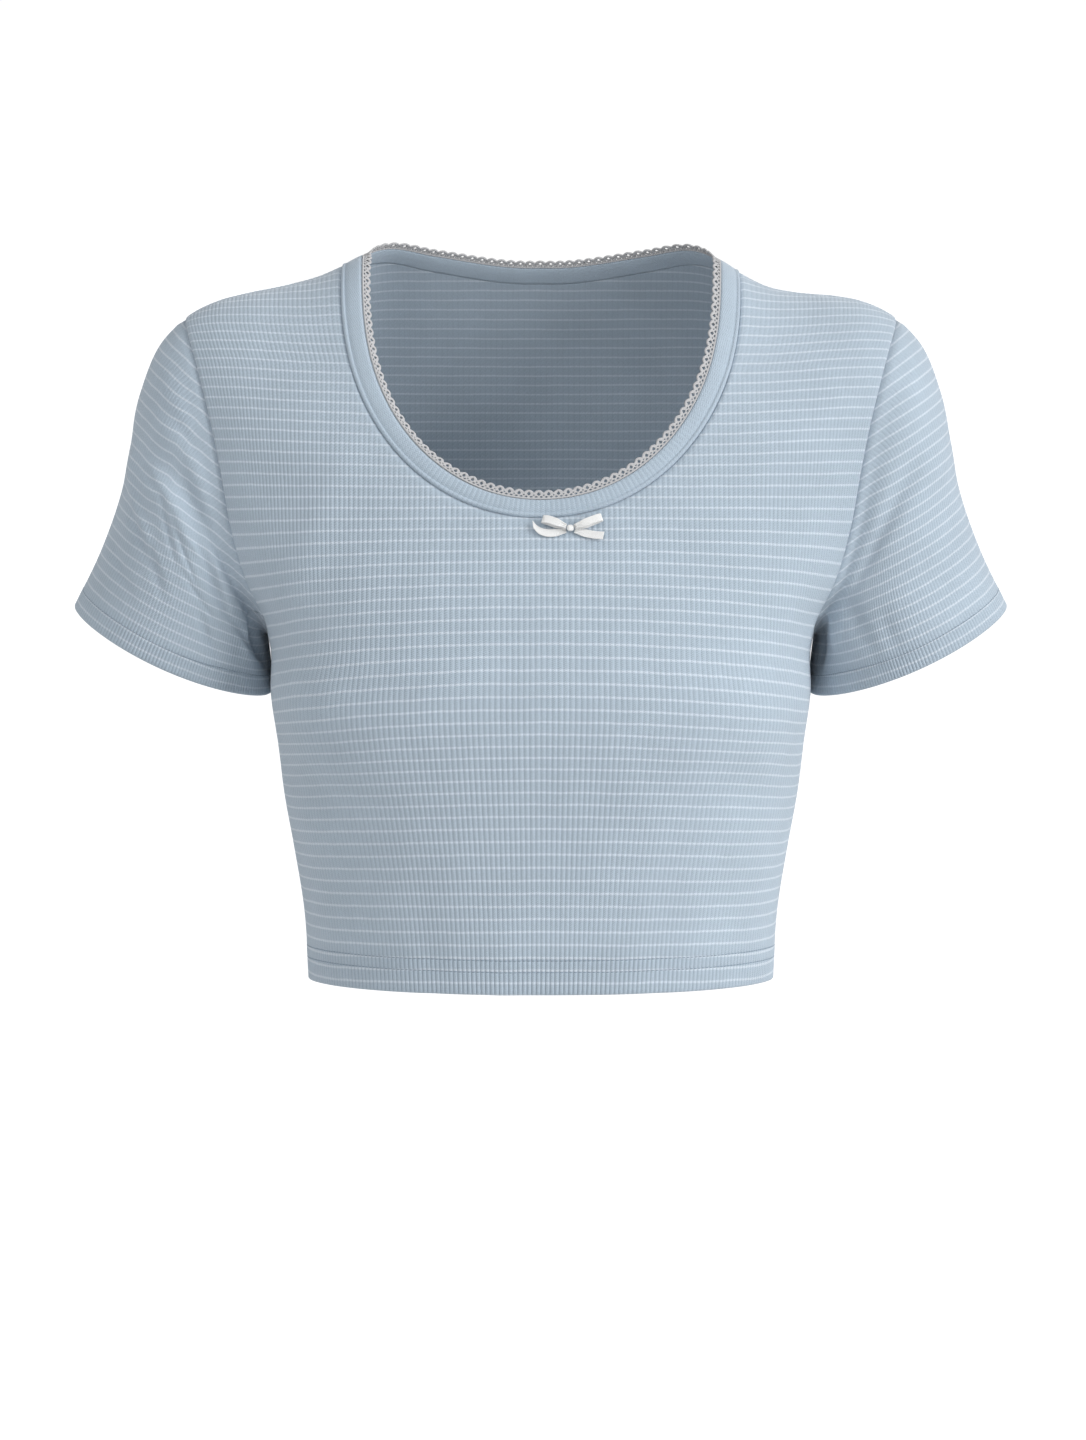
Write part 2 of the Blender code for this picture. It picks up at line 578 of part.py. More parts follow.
def buildSleeve(name, side, front, back):
    """Ribbed tube from the armhole seam down to the turned-up cuff."""
    points, normals = joinPaths(front, back, front.armPath(side), back.armPath(side))
    points, normals = spreadAlong(points, normals, SLEEVE_SIDES)
    cuffCentre = sleeveRing(1.0, np.array([0.0, math.pi]), side).mean(axis=0)
    across = outwardOf(points, normals, cuffCentre)
    topX, topZ, lowX, lowZ, half, _ = ringRow(0.0)
    axis = np.array((side * (topX - lowX) / 2, 0, (topZ - lowZ) / 2)) * MM
    centre = np.array((side * (topX + lowX) / 2, 0, (topZ + lowZ) / 2)) * MM
    cosine = (points - centre) @ axis / (axis @ axis)
    turn = np.arctan2(-points[:, 1] / (half * MM), cosine)
    fit = points - sleeveRing(0.0, turn, side)
    cuff = CUFF_HEIGHT / MM / SLEEVE_LENGTH
    places = SLEEVE_RINGS + (1 - cuff - HEM_STEP / MM / SLEEVE_LENGTH, 1 - cuff, 1.0)
    rings = []
    down = unit(sleeveRing(0.25, turn, side) - sleeveRing(0.0, turn, side))
    folded = np.clip(UNDER_ROLL_TURN - np.sum(down * across, axis=1), 0, 1)[:, None]
    for along in places:
        roll = swelling(along, SEAM_ROLL_REACH) * SEAM_ROLL * MM
        underRoll = swelling(along, UNDER_ROLL_REACH) * UNDER_ROLL * MM
        ring = sleeveRing(along, turn, side) + fit * (1 - along) ** 2
        ring = ring + across * (roll + SEAM_GAP * (along == 0)) + normals * folded * underRoll
        rings.append(ring)
    rings = np.array(rings)
    loop = np.concatenate((rings[:, -1:], rings, rings[:, :1]), axis=1)
    ringNormals = gridNormals(loop, 1)[:, 1:-1]
    outwards = rings - rings.mean(axis=1, keepdims=True)
    if np.sum(ringNormals * outwards) < 0:
        ringNormals = -ringNormals
    ringNormals[0] = normals
    alongs = np.array(places)[:, None]
    folds = foldHeight(name, turn[None, :] / (2 * math.pi) * SLEEVE_GIRTH, alongs * SLEEVE_LENGTH)
    rings = rings + ringNormals * (folds * np.clip(alongs / FOLD_FADE_SLEEVE, 0, 1))[..., None] * MM
    ridge = (np.arange(SLEEVE_SIDES) % 2) * RIB_HEIGHT
    outer = rings + ringNormals * (WALL / 2 + ridge)[None, :, None]
    depth = np.full(len(places), WALL / 2)
    depth[-2:] += HEM_EXTRA
    inner = rings - ringNormals * depth[:, None, None]
    keep = list(range(0, SLEEVE_SIDES + 1, 4))
    cells = np.ones((len(places) - 1, SLEEVE_SIDES), bool)
    points = np.concatenate((outer.reshape(-1, 3), inner.reshape(-1, 3)))
    return addObject(name, points, wallFaces(cells, keep, len(cells) - 1, closed=True), KNIT_BLUE)


def ringFaces(rings, sides):
    """Faces of a closed profile carried round a closed path."""
    faces = []
    for ring in range(rings):
        for side in range(sides):
            a = ring * sides
            b = (ring + 1) % rings * sides
            faces.append((a + side, a + (side + 1) % sides, b + (side + 1) % sides, b + side))
    return faces


def buildNeck(front, back):
    """Binding with its piped outer edge, and the picot edging inside it."""
    points, normals = joinPaths(front, back, front.neckPath(), back.neckPath())
    across = outwardOf(points, normals, points.mean(axis=0))
    low = np.clip((NECK_TOP * MM - points[:, 2]) / ((NECK_TOP - NECK_LOWEST) * MM), 0, 1)
    width = (BINDING_SIDE + (BINDING_FRONT - BINDING_SIDE) * low) * MM
    half = WALL / 2
    piping = PIPING_HEIGHT * MM
    profile = (
        (0.0, 0.0, -half),
        (0.0, 0.0, half + piping / 2),
        (0.0, 0.3 * PIPING_WIDTH, half + piping),
        (0.0, 0.75 * PIPING_WIDTH, half + piping),
        (0.0, PIPING_WIDTH, half),
        (1.0, -1.0, half * 1.3),
        (1.0, 0.0, 0.0),
        (1.0, -1.0, -half * 1.3),
    )
    rings = []
    for part, offset, height in profile:
        place = (width * part + offset * MM + SEAM_GAP)[:, None]
        rings.append(points + across * place + normals * height)
    solid = np.stack(rings, axis=1).reshape(-1, 3)
    addObject("neck_binding", solid, ringFaces(len(points), len(profile)), BINDING_BLUE)

    edge = points + across * (width + 2 * SEAM_GAP)[:, None]
    turns = 2 * PICOT_COUNT
    ends = np.concatenate((edge, edge[:1]))
    length = np.concatenate(([0], np.cumsum(np.linalg.norm(np.diff(ends, axis=0), axis=1))))
    place = np.interp(np.arange(turns) / turns * length[-1], length, np.arange(len(length)))
    start = place.astype(int)
    part = (place - start)[:, None]

    def spread(values):
        return values[start] * (1 - part) + values[(start + 1) % len(values)] * part

    base = spread(edge)
    inward = unit(spread(across))
    lift = unit(spread(normals))
    reach = np.where(np.arange(turns) % 2 == 1, PICOT_HIGH, PICOT_LOW)[:, None] * MM
    half = PICOT_WALL * MM / 2
    corners = [base - lift * half, base + lift * half, base + inward * reach]
    solid = np.stack(corners, axis=1).reshape(-1, 3)
    addObject("picot_trim", solid, ringFaces(turns, len(corners)), PICOT_GREY)


def buildBow(front):
    """Satin ribbon bow: two loops and two tails that stop just short of the knot."""
    column = np.array([BOW_X / (front.form.girth / SIDE_COLUMN)])
    z = np.array([float(BOW_Z)])
    y = front.form.place(column, z)[1][0]
    slopeY = front.form.place(column, z + 5)[1][0] - front.form.place(column, z - 5)[1][0]
    up = unit(np.array((0.0, slopeY, 10.0)))
    out = unit(np.array((0.0, -10.0, slopeY)))
    right = np.array((1.0, 0.0, 0.0))
    knot = np.array((BOW_X, y, BOW_Z)) + out * (WALL / 2 + RIB_HEIGHT) / MM + out * BOW_STAND
    for name, run in RIBBONS:
        steps = np.linspace(0, len(run) - 1, 3 * (len(run) - 1) + 1)
        path = smoothCurve(np.arange(len(run)), run)(steps)
        path = knot + path[:, :1] * right + path[:, 1:2] * up + path[:, 2:] * out
        along = unit(np.gradient(path, axis=0))
        wide = unit(np.cross(out, path[len(path) // 2] - path[0]))
        face = unit(np.cross(along, wide))
        pinch = np.clip(np.minimum(steps, steps[-1] - steps if "loop" in name else 9), 0, 1)
        half = (RIBBON_WIDTH / 2 * (RIBBON_PINCH + (1 - RIBBON_PINCH) * pinch))[:, None]
        thin = RIBBON_WALL / 2
        corners = [path - wide * half - face * thin, path - wide * half + face * thin,
                   path + wide * half + face * thin, path + wide * half - face * thin]
        solid = np.stack(corners, axis=1).reshape(-1, 3) * MM
        faces = ringFaces(len(path), 4)[:-4]
        faces += [(0, 1, 2, 3), tuple(len(solid) - 4 + i for i in range(4))]
        addObject(name, solid, faces, SATIN_WHITE, 0.35)
    work = bmesh.new()
    bmesh.ops.create_cube(work, size=1)
    bmesh.ops.bevel(work, geom=work.edges[:], offset=0.24, segments=2, affect="EDGES")
    shape = [knot + v.co.x * KNOT_SIZE[0] * right + v.co.z * KNOT_SIZE[2] * up
             + v.co.y * KNOT_SIZE[1] * out for v in work.verts]
    faces = [tuple(v.index for v in face.verts) for face in work.faces]
    work.free()
    addObject("bow_knot", np.array(shape) * MM, faces, SATIN_WHITE, 0.35)


def main():
    for thing in list(bpy.data.objects):
        bpy.data.objects.remove(thing, do_unlink=True)
    front = Panel("front")
    back = Panel("back")
    buildPanel(front)
    buildPanel(back)
    buildSleeve("right_sleeve", -1, front, back)
    buildSleeve("left_sleeve", 1, front, back)
    buildNeck(front, back)
    buildBow(front)


main()
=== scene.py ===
import math

import bpy
import numpy as np
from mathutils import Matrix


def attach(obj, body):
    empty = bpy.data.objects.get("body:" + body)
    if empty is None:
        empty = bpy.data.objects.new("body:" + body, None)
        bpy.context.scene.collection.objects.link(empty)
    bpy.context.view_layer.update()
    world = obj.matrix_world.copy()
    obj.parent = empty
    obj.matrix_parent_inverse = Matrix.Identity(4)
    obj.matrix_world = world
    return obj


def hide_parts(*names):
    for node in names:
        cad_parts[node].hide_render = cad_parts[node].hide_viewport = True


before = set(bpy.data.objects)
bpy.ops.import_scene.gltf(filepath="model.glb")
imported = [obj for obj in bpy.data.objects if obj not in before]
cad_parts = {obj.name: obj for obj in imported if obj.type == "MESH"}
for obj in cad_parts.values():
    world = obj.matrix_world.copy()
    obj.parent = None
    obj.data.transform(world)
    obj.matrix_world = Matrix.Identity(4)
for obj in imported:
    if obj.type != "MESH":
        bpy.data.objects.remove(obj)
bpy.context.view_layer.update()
print("frame loaded:", len(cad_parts), "solids")

mm = 0.001

# Lengths are millimetres, apart from the camera's and the studio's, which are metres; +X is the
# wearer's left, -Y the front

view = {
    "place": (0.0012, -2.2, 0.06),
    "aim": (0.0012, 0.0, -0.249),
    "lens": 103.19,
    "sensor": 36.0,
}


def addObject(name, data):
    made = bpy.data.objects.new(name, data)
    bpy.context.scene.collection.objects.link(made)
    return made


def setCamera():
    camera = addObject("camera", bpy.data.cameras.new("camera"))
    camera.data.sensor_width = view["sensor"]
    camera.data.lens = view["lens"]
    camera.data.clip_start = 0.1
    camera.data.clip_end = 60
    rise = view["aim"][2] - view["place"][2]
    run = view["aim"][1] - view["place"][1]
    camera.location = view["place"]
    camera.rotation_euler = (math.pi / 2 + math.atan2(rise, run), 0, 0)
    bpy.context.scene.camera = camera
    bpy.context.scene.view_settings.view_transform = "Standard"


setCamera()

# Curves and grids


def smoothCurve(at, height):
    # cubic pieces through the points of a table, each slope taken from the two neighbours
    at = np.array(at, float)
    height = np.array(height, float)
    slope = np.gradient(height, at, axis=0)

    def curve(x):
        x = np.clip(np.asarray(x, float), at[0], at[-1])
        i = np.clip(np.searchsorted(at, x) - 1, 0, len(at) - 2)
        span = at[i + 1] - at[i]
        t = (x - at[i]) / span
        if height.ndim > 1:
            span = span[..., None]
            t = t[..., None]
        start = (1 + 2 * t) * (1 - t) ** 2 * height[i] + t * (1 - t) ** 2 * span * slope[i]
        end = t * t * (3 - 2 * t) * height[i + 1] - t * t * (1 - t) * span * slope[i + 1]
        return start + end

    return curve


def columnCurve(names, rows, value):
    # smooth curve of one named column of a table over its first column
    return smoothCurve([row[0] for row in rows], [row[names.index(value)] for row in rows])


def unit(vectors):
    return vectors / np.maximum(np.linalg.norm(vectors, axis=-1, keepdims=True), 1e-12)


def smoothStep(low, high, x):
    # 0 below low, 1 above high, and 3t^2 - 2t^3 between
    t = np.clip((x - low) / (high - low), 0, 1)
    return t * t * (3 - 2 * t)


def sampleGrid(table, row, column):
    # value between four neighbours of a table, by their distances
    row = np.clip(row, 0, table.shape[0] - 1.001)
    column = np.clip(column, 0, table.shape[1] - 1.001)
    r = row.astype(int)
    c = column.astype(int)
    down = row - r
    across = column - c
    low = table[r, c] * (1 - across) + table[r, c + 1] * across
    high = table[r + 1, c] * (1 - across) + table[r + 1, c + 1] * across
    return low * (1 - down) + high * down


def gridNormals(points):
    # cross product of the two grid directions
    return unit(np.cross(np.gradient(points, axis=1), np.gradient(points, axis=0)))


def lengthAlong(points, axis=0):
    # distance walked along a line, or along one direction of a grid, from its start
    step = np.linalg.norm(np.diff(points, axis=axis), axis=-1)
    return np.pad(np.cumsum(step, axis=axis), [(int(k == axis), 0) for k in range(step.ndim)])


def smoothLoop(values, reach):
    # running mean of a closed line of values, weighted by a bell of that many places
    offset = np.arange(-2 * reach, 2 * reach + 1)
    weight = np.exp(-(offset / reach) ** 2)
    total = sum(w * np.roll(values, -k, axis=0) for k, w in zip(offset, weight))
    return total / weight.sum()


def loopReader(points, at):
    # reads values given along a closed line of points, at parts 0..1 of its length
    length = lengthAlong(np.concatenate((points, points[:1])))
    place = np.interp(at * length[-1], length, np.arange(len(length)))
    low = np.minimum(place.astype(int), len(points) - 1)
    part = (place - low)[:, None]
    return lambda values: values[low] * (1 - part) + values[(low + 1) % len(values)] * part


def bellAt(distance, reach):
    return np.exp(-(distance / reach) ** 2)


# Meshes


def makePiece(name, solid, points, faceSets, finish, uv=None, ribDepth=None):
    # one mesh from points and arrays of equal faces, without the points that no face uses
    material, slotName = finish
    corners = np.concatenate([faces.ravel() for faces in faceSets])
    sizes = np.concatenate([np.full(len(faces), faces.shape[1]) for faces in faceSets])
    starts = np.cumsum(sizes) - sizes
    used, corners = np.unique(corners, return_inverse=True)
    mesh = bpy.data.meshes.new(name)
    mesh.vertices.add(len(used))
    mesh.vertices.foreach_set("co", (points[used] * mm).astype(np.float32).ravel())
    mesh.loops.add(len(corners))
    mesh.loops.foreach_set("vertex_index", corners.astype(np.int32))
    mesh.polygons.add(len(sizes))
    mesh.polygons.foreach_set("loop_start", starts.astype(np.int32))
    mesh.update(calc_edges=True)
    if uv is not None:
        layer = mesh.uv_layers.new(name="cloth")
        layer.data.foreach_set("uv", uv[used][corners].astype(np.float32).ravel())
    if ribDepth is not None:
        layer = mesh.attributes.new("ribDepth", "FLOAT", "POINT")
        layer.data.foreach_set("value", ribDepth.ravel()[used].astype(np.float32))
    mesh.validate()
    mesh.shade_smooth()
    piece = addObject(name, mesh)
    mesh.materials.append(material)
    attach(piece, "root")
    if solid:
        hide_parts(solid)
    print(name, "has", int((sizes - 2).sum()), "triangles")
    return piece


def gridQuads(index, wrap=True):
    # quads between neighbouring rows and columns of numbered points, round to the first column
    if wrap:
        index = np.concatenate((index, index[..., :1]), axis=-1)
    low = index[..., :-1, :]
    high = index[..., 1:, :]
    return np.stack((low[..., :-1], low[..., 1:], high[..., 1:], high[..., :-1]), axis=-1)


def shellFaces(cells, closed):
    # outer quads, inner quads turned round, and a rim quad on each open edge of the cells
    index = np.arange((cells.shape[0] + 1) * (cells.shape[1] + (not closed)))
    count = len(index)
    index = index.reshape(cells.shape[0] + 1, -1)
    quads = gridQuads(index, closed)[cells]
    faces = [quads, quads[:, ::-1] + count]
    padded = np.pad(cells, 1)

    def addRim(start, end, inside, outside):
        rim = np.stack((start, end, end + count, start + count), axis=-1)
        faces.append(rim[inside & ~outside])

    under = padded[:-1, 1:-1]
    over = padded[1:, 1:-1]
    left = index if closed else index[:, :-1]
    right = np.roll(index, -1, axis=1) if closed else index[:, 1:]
    addRim(right, left, over, under)
    addRim(left, right, under, over)
    if not closed:
        before = padded[1:-1, :-1]
        after = padded[1:-1, 1:]
        addRim(index[:-1], index[1:], after, before)
        addRim(index[1:], index[:-1], before, after)
    return faces


def facedTo(points, faces, towards):
    # the face arrays, all turned round if the first of them looks away from the directions
    corner = points[faces[0]]
    facing = np.cross(corner[:, 1] - corner[:, 0], corner[:, 3] - corner[:, 0])
    if np.sum(facing * towards) < 0:
        return [quads[:, ::-1] for quads in faces]
    return faces


def makeShell(name, solid, outer, inner, normals, cells, finish, uv=None, ribDepth=None):
    # closed shell between two layers of a grid of points, over the cells that are set
    points = np.concatenate((outer.reshape(-1, 3), inner.reshape(-1, 3)))
    faces = shellFaces(cells, outer.shape[1] == cells.shape[1])
    faces = facedTo(points, faces, normals[:-1, :cells.shape[1]][cells])
    if uv is not None:
        uv = np.tile(uv.reshape(-1, 2), (2, 1))
    if ribDepth is not None:
        ribDepth = np.tile(ribDepth, (2, 1))
    return makePiece(name, solid, points, faces, finish, uv, ribDepth)


def makeTubes(paths, out, wide, tall, taper, sides):
    # an ellipse carried along each path, wide across it and tall along out, times taper at both
    # ends: points ring after ring, their quads and the two end caps
    along = unit(np.gradient(paths, axis=1))
    across = unit(np.cross(out, along))
    up = np.cross(along, across)
    turn = np.arange(sides) / sides * 2 * math.pi
    size = np.ones(paths.shape[1])
    size[[0, -1]] = taper
    section = across[:, :, None] * (np.cos(turn) * wide)[:, None]
    section = section + up[:, :, None] * (np.sin(turn) * tall)[:, None]
    rings = paths[:, :, None] + size[:, None, None] * section
    index = np.arange(rings[..., 0].size).reshape(rings.shape[:3])
    faces = [gridQuads(index).reshape(-1, 4), index[:, 0, ::-1], index[:, -1]]
    return rings.reshape(-1, 3), faces


# Finishes


def setInputs(tree, node, values):
    # each input gets a number, a colour, or a link from another node's output
    for name, value in values.items():
        if isinstance(value, bpy.types.NodeSocket):
            tree.links.new(value, node.inputs[name])
        else:
            node.inputs[name].default_value = (*value, 1) if isinstance(value, tuple) else value


def addNode(tree, kind, values=None, **options):
    made = tree.nodes.new(kind)
    for name, value in options.items():
        setattr(made, name, value)
    setInputs(tree, made, values or {})
    return made


def calc(tree, operation, *values):
    # one Math node fed by sockets or numbers
    return addNode(tree, "ShaderNodeMath", dict(enumerate(values)), operation=operation).outputs[0]


def mixColour(tree, factor, a, b, kind="MIX"):
    values = {0: factor, 6: a, 7: b}
    return addNode(tree, "ShaderNodeMix", values, data_type="RGBA", blend_type=kind).outputs[2]


def stepBetween(tree, value, low, high):
    # smooth mask that rises from 0 at low to 1 at high
    values = {"Value": value, "From Min": low, "From Max": high}
    made = addNode(tree, "ShaderNodeMapRange", values, interpolation_type="SMOOTHSTEP")
    return made.outputs["Result"]


def newGroup(name, inputs, outputs):
    # inputs are numbers, or vectors where their value is None; outputs are numbers
    tree = bpy.data.node_groups.new(name, "ShaderNodeTree")
    for label, value in inputs.items():
        kind = "NodeSocketVector" if value is None else "NodeSocketFloat"
        socket = tree.interface.new_socket(name=label, in_out="INPUT", socket_type=kind)
        if value is not None:
            socket.default_value = value
    for label in outputs:
        tree.interface.new_socket(name=label, in_out="OUTPUT", socket_type="NodeSocketFloat")
    return tree, tree.nodes.new("NodeGroupInput").outputs, tree.nodes.new("NodeGroupOutput")


def fibreGroup():
    # yarn fuzz: two scales of noise on the piece's own place, each a value from 0 to 1
    tree, given, result = newGroup(
        "yarnFuzz", {"Vector": None, "Fine Scale": 1400.0, "Patch Scale": 36.0}, ("Fine", "Patch"))
    for label, detail in (("Fine", 3.0), ("Patch", 4.0)):
        noise = addNode(tree, "ShaderNodeTexNoise", {
            "Vector": given["Vector"], "Scale": given[label + " Scale"], "Detail": detail,
            "Roughness": 0.6})
        setInputs(tree, result, {label: noise.outputs["Fac"]})
    return tree


def ribGroup():
    # knit on a map of rib number and stripe number: painted shade in the grooves, stripe mask, stitch
    # height
    tree, given, result = newGroup(
        "ribKnit",
        {"Rib": 0.0, "Stripe": 0.0, "Fuzz": 0.5, "Stripe Width": 0.09, "Courses": 7.0, "Depth": 1.0},
        ("Groove Shade", "Stripe", "Stitch"))

    def fromHalf(number):
        fraction = calc(tree, "FRACT", number)
        return calc(tree, "ABSOLUTE", calc(tree, "SUBTRACT", fraction, 0.5))

    # grooves lie at whole rib numbers; stripes at whole stripe numbers, where the fuzz moves them
    fromTop = fromHalf(given["Rib"])
    # painted shade: the groove mask darkens the colour in the grooves, more where the ribs are deeper
    groove = calc(tree, "MULTIPLY", stepBetween(tree, fromTop, 0.30, 0.50), given["Depth"])
    wander = calc(tree, "MULTIPLY_ADD", given["Fuzz"], 0.22, -0.11)
    fromLine = fromHalf(calc(tree, "ADD", calc(tree, "ADD", given["Stripe"], 0.5), wander))
    edge = calc(tree, "SUBTRACT", given["Stripe Width"], fromLine)
    # the stripes are dimmed in the grooves by the same painted shade
    broken = calc(tree, "MULTIPLY_ADD", groove, -0.35, 1.0)
    # each stitch is a V: its two legs lean as the course number rises away from the rib's middle
    lean = calc(tree, "MULTIPLY", fromTop, 1.6)
    course = calc(tree, "ADD", calc(tree, "MULTIPLY", given["Stripe"], given["Courses"]), lean)
    wave = calc(tree, "SINE", calc(tree, "MULTIPLY", course, 2 * math.pi))
    setInputs(tree, result, {
        "Groove Shade": groove,
        "Stripe": calc(tree, "MULTIPLY", stepBetween(tree, edge, -0.06, 0.06), broken),
        "Stitch": calc(tree, "MULTIPLY_ADD", wave, 0.5, 0.5)})
    return tree


def startMaterial(name, roughness, sheen, fineScale=1400.0):
    material = bpy.data.materials.new(name)
    material.use_nodes = True
    tree = material.node_tree
    shader = tree.nodes["Principled BSDF"]
    setInputs(tree, shader, {
        "Roughness": roughness, "Sheen Weight": sheen, "Sheen Roughness": 0.45,
        "Specular IOR Level": 0.25})
    place = addNode(tree, "ShaderNodeTexCoord").outputs["Object"]
    values = {"Vector": place, "Fine Scale": fineScale}
    fibre = addNode(tree, "ShaderNodeGroup", values, node_tree=yarnFuzz)
    return material, tree, shader, fibre.outputs


def clothMap(tree):
    # the two numbers of the piece's own map
    spots = addNode(tree, "ShaderNodeUVMap", uv_map="cloth")
    return addNode(tree, "ShaderNodeSeparateXYZ", {0: spots.outputs["UV"]}).outputs


def bump(tree, height, distance, strength=1.0):
    values = {"Strength": strength, "Distance": distance, "Height": height}
    return addNode(tree, "ShaderNodeBump", values).outputs["Normal"]


# the shade colour and its share are the painted shade of the rib grooves
knitLook = {
    "blue": (0.420, 0.503, 0.585), "shade": (0.300, 0.372, 0.448), "stripe": (0.66, 0.72, 0.79),
    "fleck": 0.16, "stripeWidth": 0.085, "shadeShare": 0.38, "stripeShare": 0.67,
}


def knitMaterial(name, look, courses, striped=True):
    # blue yarn with painted shade in the grooves, white cross stripes over the ribs, fuzz in both
    material, tree, shader, fibre = startMaterial(name, 0.9, 0.3)
    # rib depth, which sets how strong the painted groove shade is
    deep = addNode(tree, "ShaderNodeAttribute", attribute_name="ribDepth").outputs["Fac"]
    spots = clothMap(tree)
    knit = addNode(tree, "ShaderNodeGroup", {
        "Rib": spots["X"], "Stripe": spots["Y"], "Fuzz": fibre["Patch"], "Depth": deep,
        "Courses": courses, "Stripe Width": look["stripeWidth"]}, node_tree=ribKnit).outputs
    # painted shade: the grooves mixed towards the shade colour
    shade = calc(tree, "MULTIPLY", knit["Groove Shade"], look["shadeShare"])
    colour = mixColour(tree, shade, look["blue"], look["shade"])
    if striped:
        white = calc(tree, "MULTIPLY", knit["Stripe"], look["stripeShare"])
        colour = mixColour(tree, white, colour, look["stripe"])
    fleck = calc(tree, "MULTIPLY_ADD", fibre["Fine"], 2 * look["fleck"], 1 - look["fleck"])
    patch = calc(tree, "MULTIPLY_ADD", fibre["Patch"], look["fleck"], 1 - look["fleck"] / 2)
    tone = calc(tree, "MULTIPLY", fleck, patch)
    grey = addNode(tree, "ShaderNodeCombineColor", {0: tone, 1: tone, 2: tone}).outputs[0]
    height = calc(tree, "MULTIPLY_ADD", fibre["Fine"], 0.5, knit["Stitch"])
    setInputs(tree, shader, {
        "Base Color": mixColour(tree, 1.0, colour, grey, "MULTIPLY"),
        "Roughness": calc(tree, "MULTIPLY_ADD", fibre["Fine"], 0.2, 0.78),
        "Normal": bump(tree, height, 0.00016, 0.8)})
    return material


def yarnMaterial(name, colour, roughness, fleck, fineScale, bumpHeight):
    # one yarn colour with a fine fleck and a soft bump of its fibres
    material, tree, shader, fibre = startMaterial(name, roughness, 0.2, fineScale)
    dark = tuple(value * (1 - fleck) for value in colour)
    light = tuple(min(value * (1 + fleck / 2), 0.95) for value in colour)
    setInputs(tree, shader, {
        "Base Color": mixColour(tree, fibre["Fine"], dark, light),
        "Roughness": calc(tree, "MULTIPLY_ADD", fibre["Patch"], 0.12, roughness - 0.06),
        "Normal": bump(tree, fibre["Fine"], bumpHeight)})
    return material


def satinMaterial(name, colour):
    # woven satin: fine ridges along the ribbon's map, a soft lengthwise gloss
    material, tree, shader, fibre = startMaterial(name, 0.38, 0.15, 2200.0)
    weave = calc(tree, "SINE", calc(tree, "MULTIPLY", clothMap(tree)["X"], 90.0))
    height = calc(tree, "MULTIPLY_ADD", weave, 0.4, fibre["Fine"])
    dim = tuple(value * 0.9 for value in colour)
    setInputs(tree, shader, {
        "Specular IOR Level": 0.5,
        "Base Color": mixColour(tree, fibre["Patch"], dim, colour),
        "Roughness": calc(tree, "MULTIPLY_ADD", fibre["Fine"], 0.16, 0.30),
        "Normal": bump(tree, height, 0.00004)})
    return material


yarnFuzz = fibreGroup()
ribKnit = ribGroup()
# the binding's grooves get a darker painted shade
bindingLook = dict(knitLook, shade=(0.27, 0.35, 0.43))
# a finish is a material and its slot
thread = yarnMaterial("sewingThread", (0.27, 0.345, 0.42), 0.75, 0.2, 2600.0, 0.00005)
elastic = yarnMaterial("picotElastic", (0.52, 0.52, 0.53), 0.8, 0.25, 2400.0, 0.00006)
panelKnit = knitMaterial("stripedRibKnit", knitLook, 7.0), "rib_knit"
bindingKnit = knitMaterial("bindingRibKnit", bindingLook, 6.0, False), "binding_knit"
threadLook = thread, "rib_knit"
elasticLook = elastic, "picot_edging"
satinLook = satinMaterial("whiteSatin", (0.88, 0.885, 0.88)), "satin_ribbon"
print("finishes made")

# Worn form of the body

body = {
    "hemFront": -380.0, "hemSide": -390.5, "underarm": -204.0, "armLine": -188.0,
    "gatherFoot": -265.0, "armPower": 2.0, "ridgePower": 2.2,
    "sideRib": 76, "armRib": 73, "neckRib": 36,
    "drop": 4.5, "dropPlace": (122.0, -12.0), "dropReach": (32.0, 60.0),
}
sectionNames = ("z", "halfWidth", "front", "back", "frontPower", "backPower")
sections = (
    (-420, 123.5, 93, 76, 2.4, 2.4), (-385, 124.8, 96, 77, 2.4, 2.4),
    (-350, 126.7, 100, 80, 2.45, 2.4), (-315, 131.8, 104.5, 83, 2.55, 2.4),
    (-285, 136.7, 110, 86, 2.7, 2.4), (-255, 139.8, 116, 89, 2.95, 2.4),
    (-230, 142.9, 119, 90, 3.05, 2.4), (-204, 143.3, 117, 91, 2.95, 2.4),
    (-196, 145.5, 115, 91, 2.88, 2.4), (-188, 148.8, 113, 91, 2.8, 2.4),
    (-166, 167.5, 105, 91, 2.6, 2.4), (-130, 187.0, 92, 88, 2.45, 2.4),
    (-100, 197.0, 82, 82, 2.4, 2.4), (-60, 206.0, 67, 73, 2.4, 2.4),
    (-30, 211.0, 56, 63, 2.4, 2.4), (10, 214.0, 42, 48, 2.4, 2.4),
)
ridgeNames = ("x", "z", "round")
ridgeRows = (
    (0, 14, 92), (60, 11, 90), (83, 6.5, 86), (102, -5, 80), (116, -11.5, 76), (136, -17, 70),
    (158, -21.5, 60), (171, -25, 53), (184, -31, 46), (194, -38, 43),
)
armholeNames = ("z", "front", "back")
armholeRows = (
    (-188, 144.8, 144.6), (-166, 154.5, 158.0), (-140, 162.0, 166.5), (-115, 166.5, 171.5),
    (-92, 171.0, 175.0), (-70, 176.5, 179.5), (-50, 182.5, 184.5), (-34, 188.5, 188.5),
)
neck = {
    "half": 105.0, "top": -6.5, "across": 2.05, "down": 2.25, "lowest": -131.5, "foot": -55.0,
    "backDrop": 31.0, "footShare": {"front": 0.731, "back": 0.9994},
}
ribPhases = np.array((0.0, 0.17, 0.5, 0.83))
ribShape = np.array((0.0, 0.9, 1.0, 0.9))
levels = np.arange(-420.0, 11.0)
sampleCount = 400

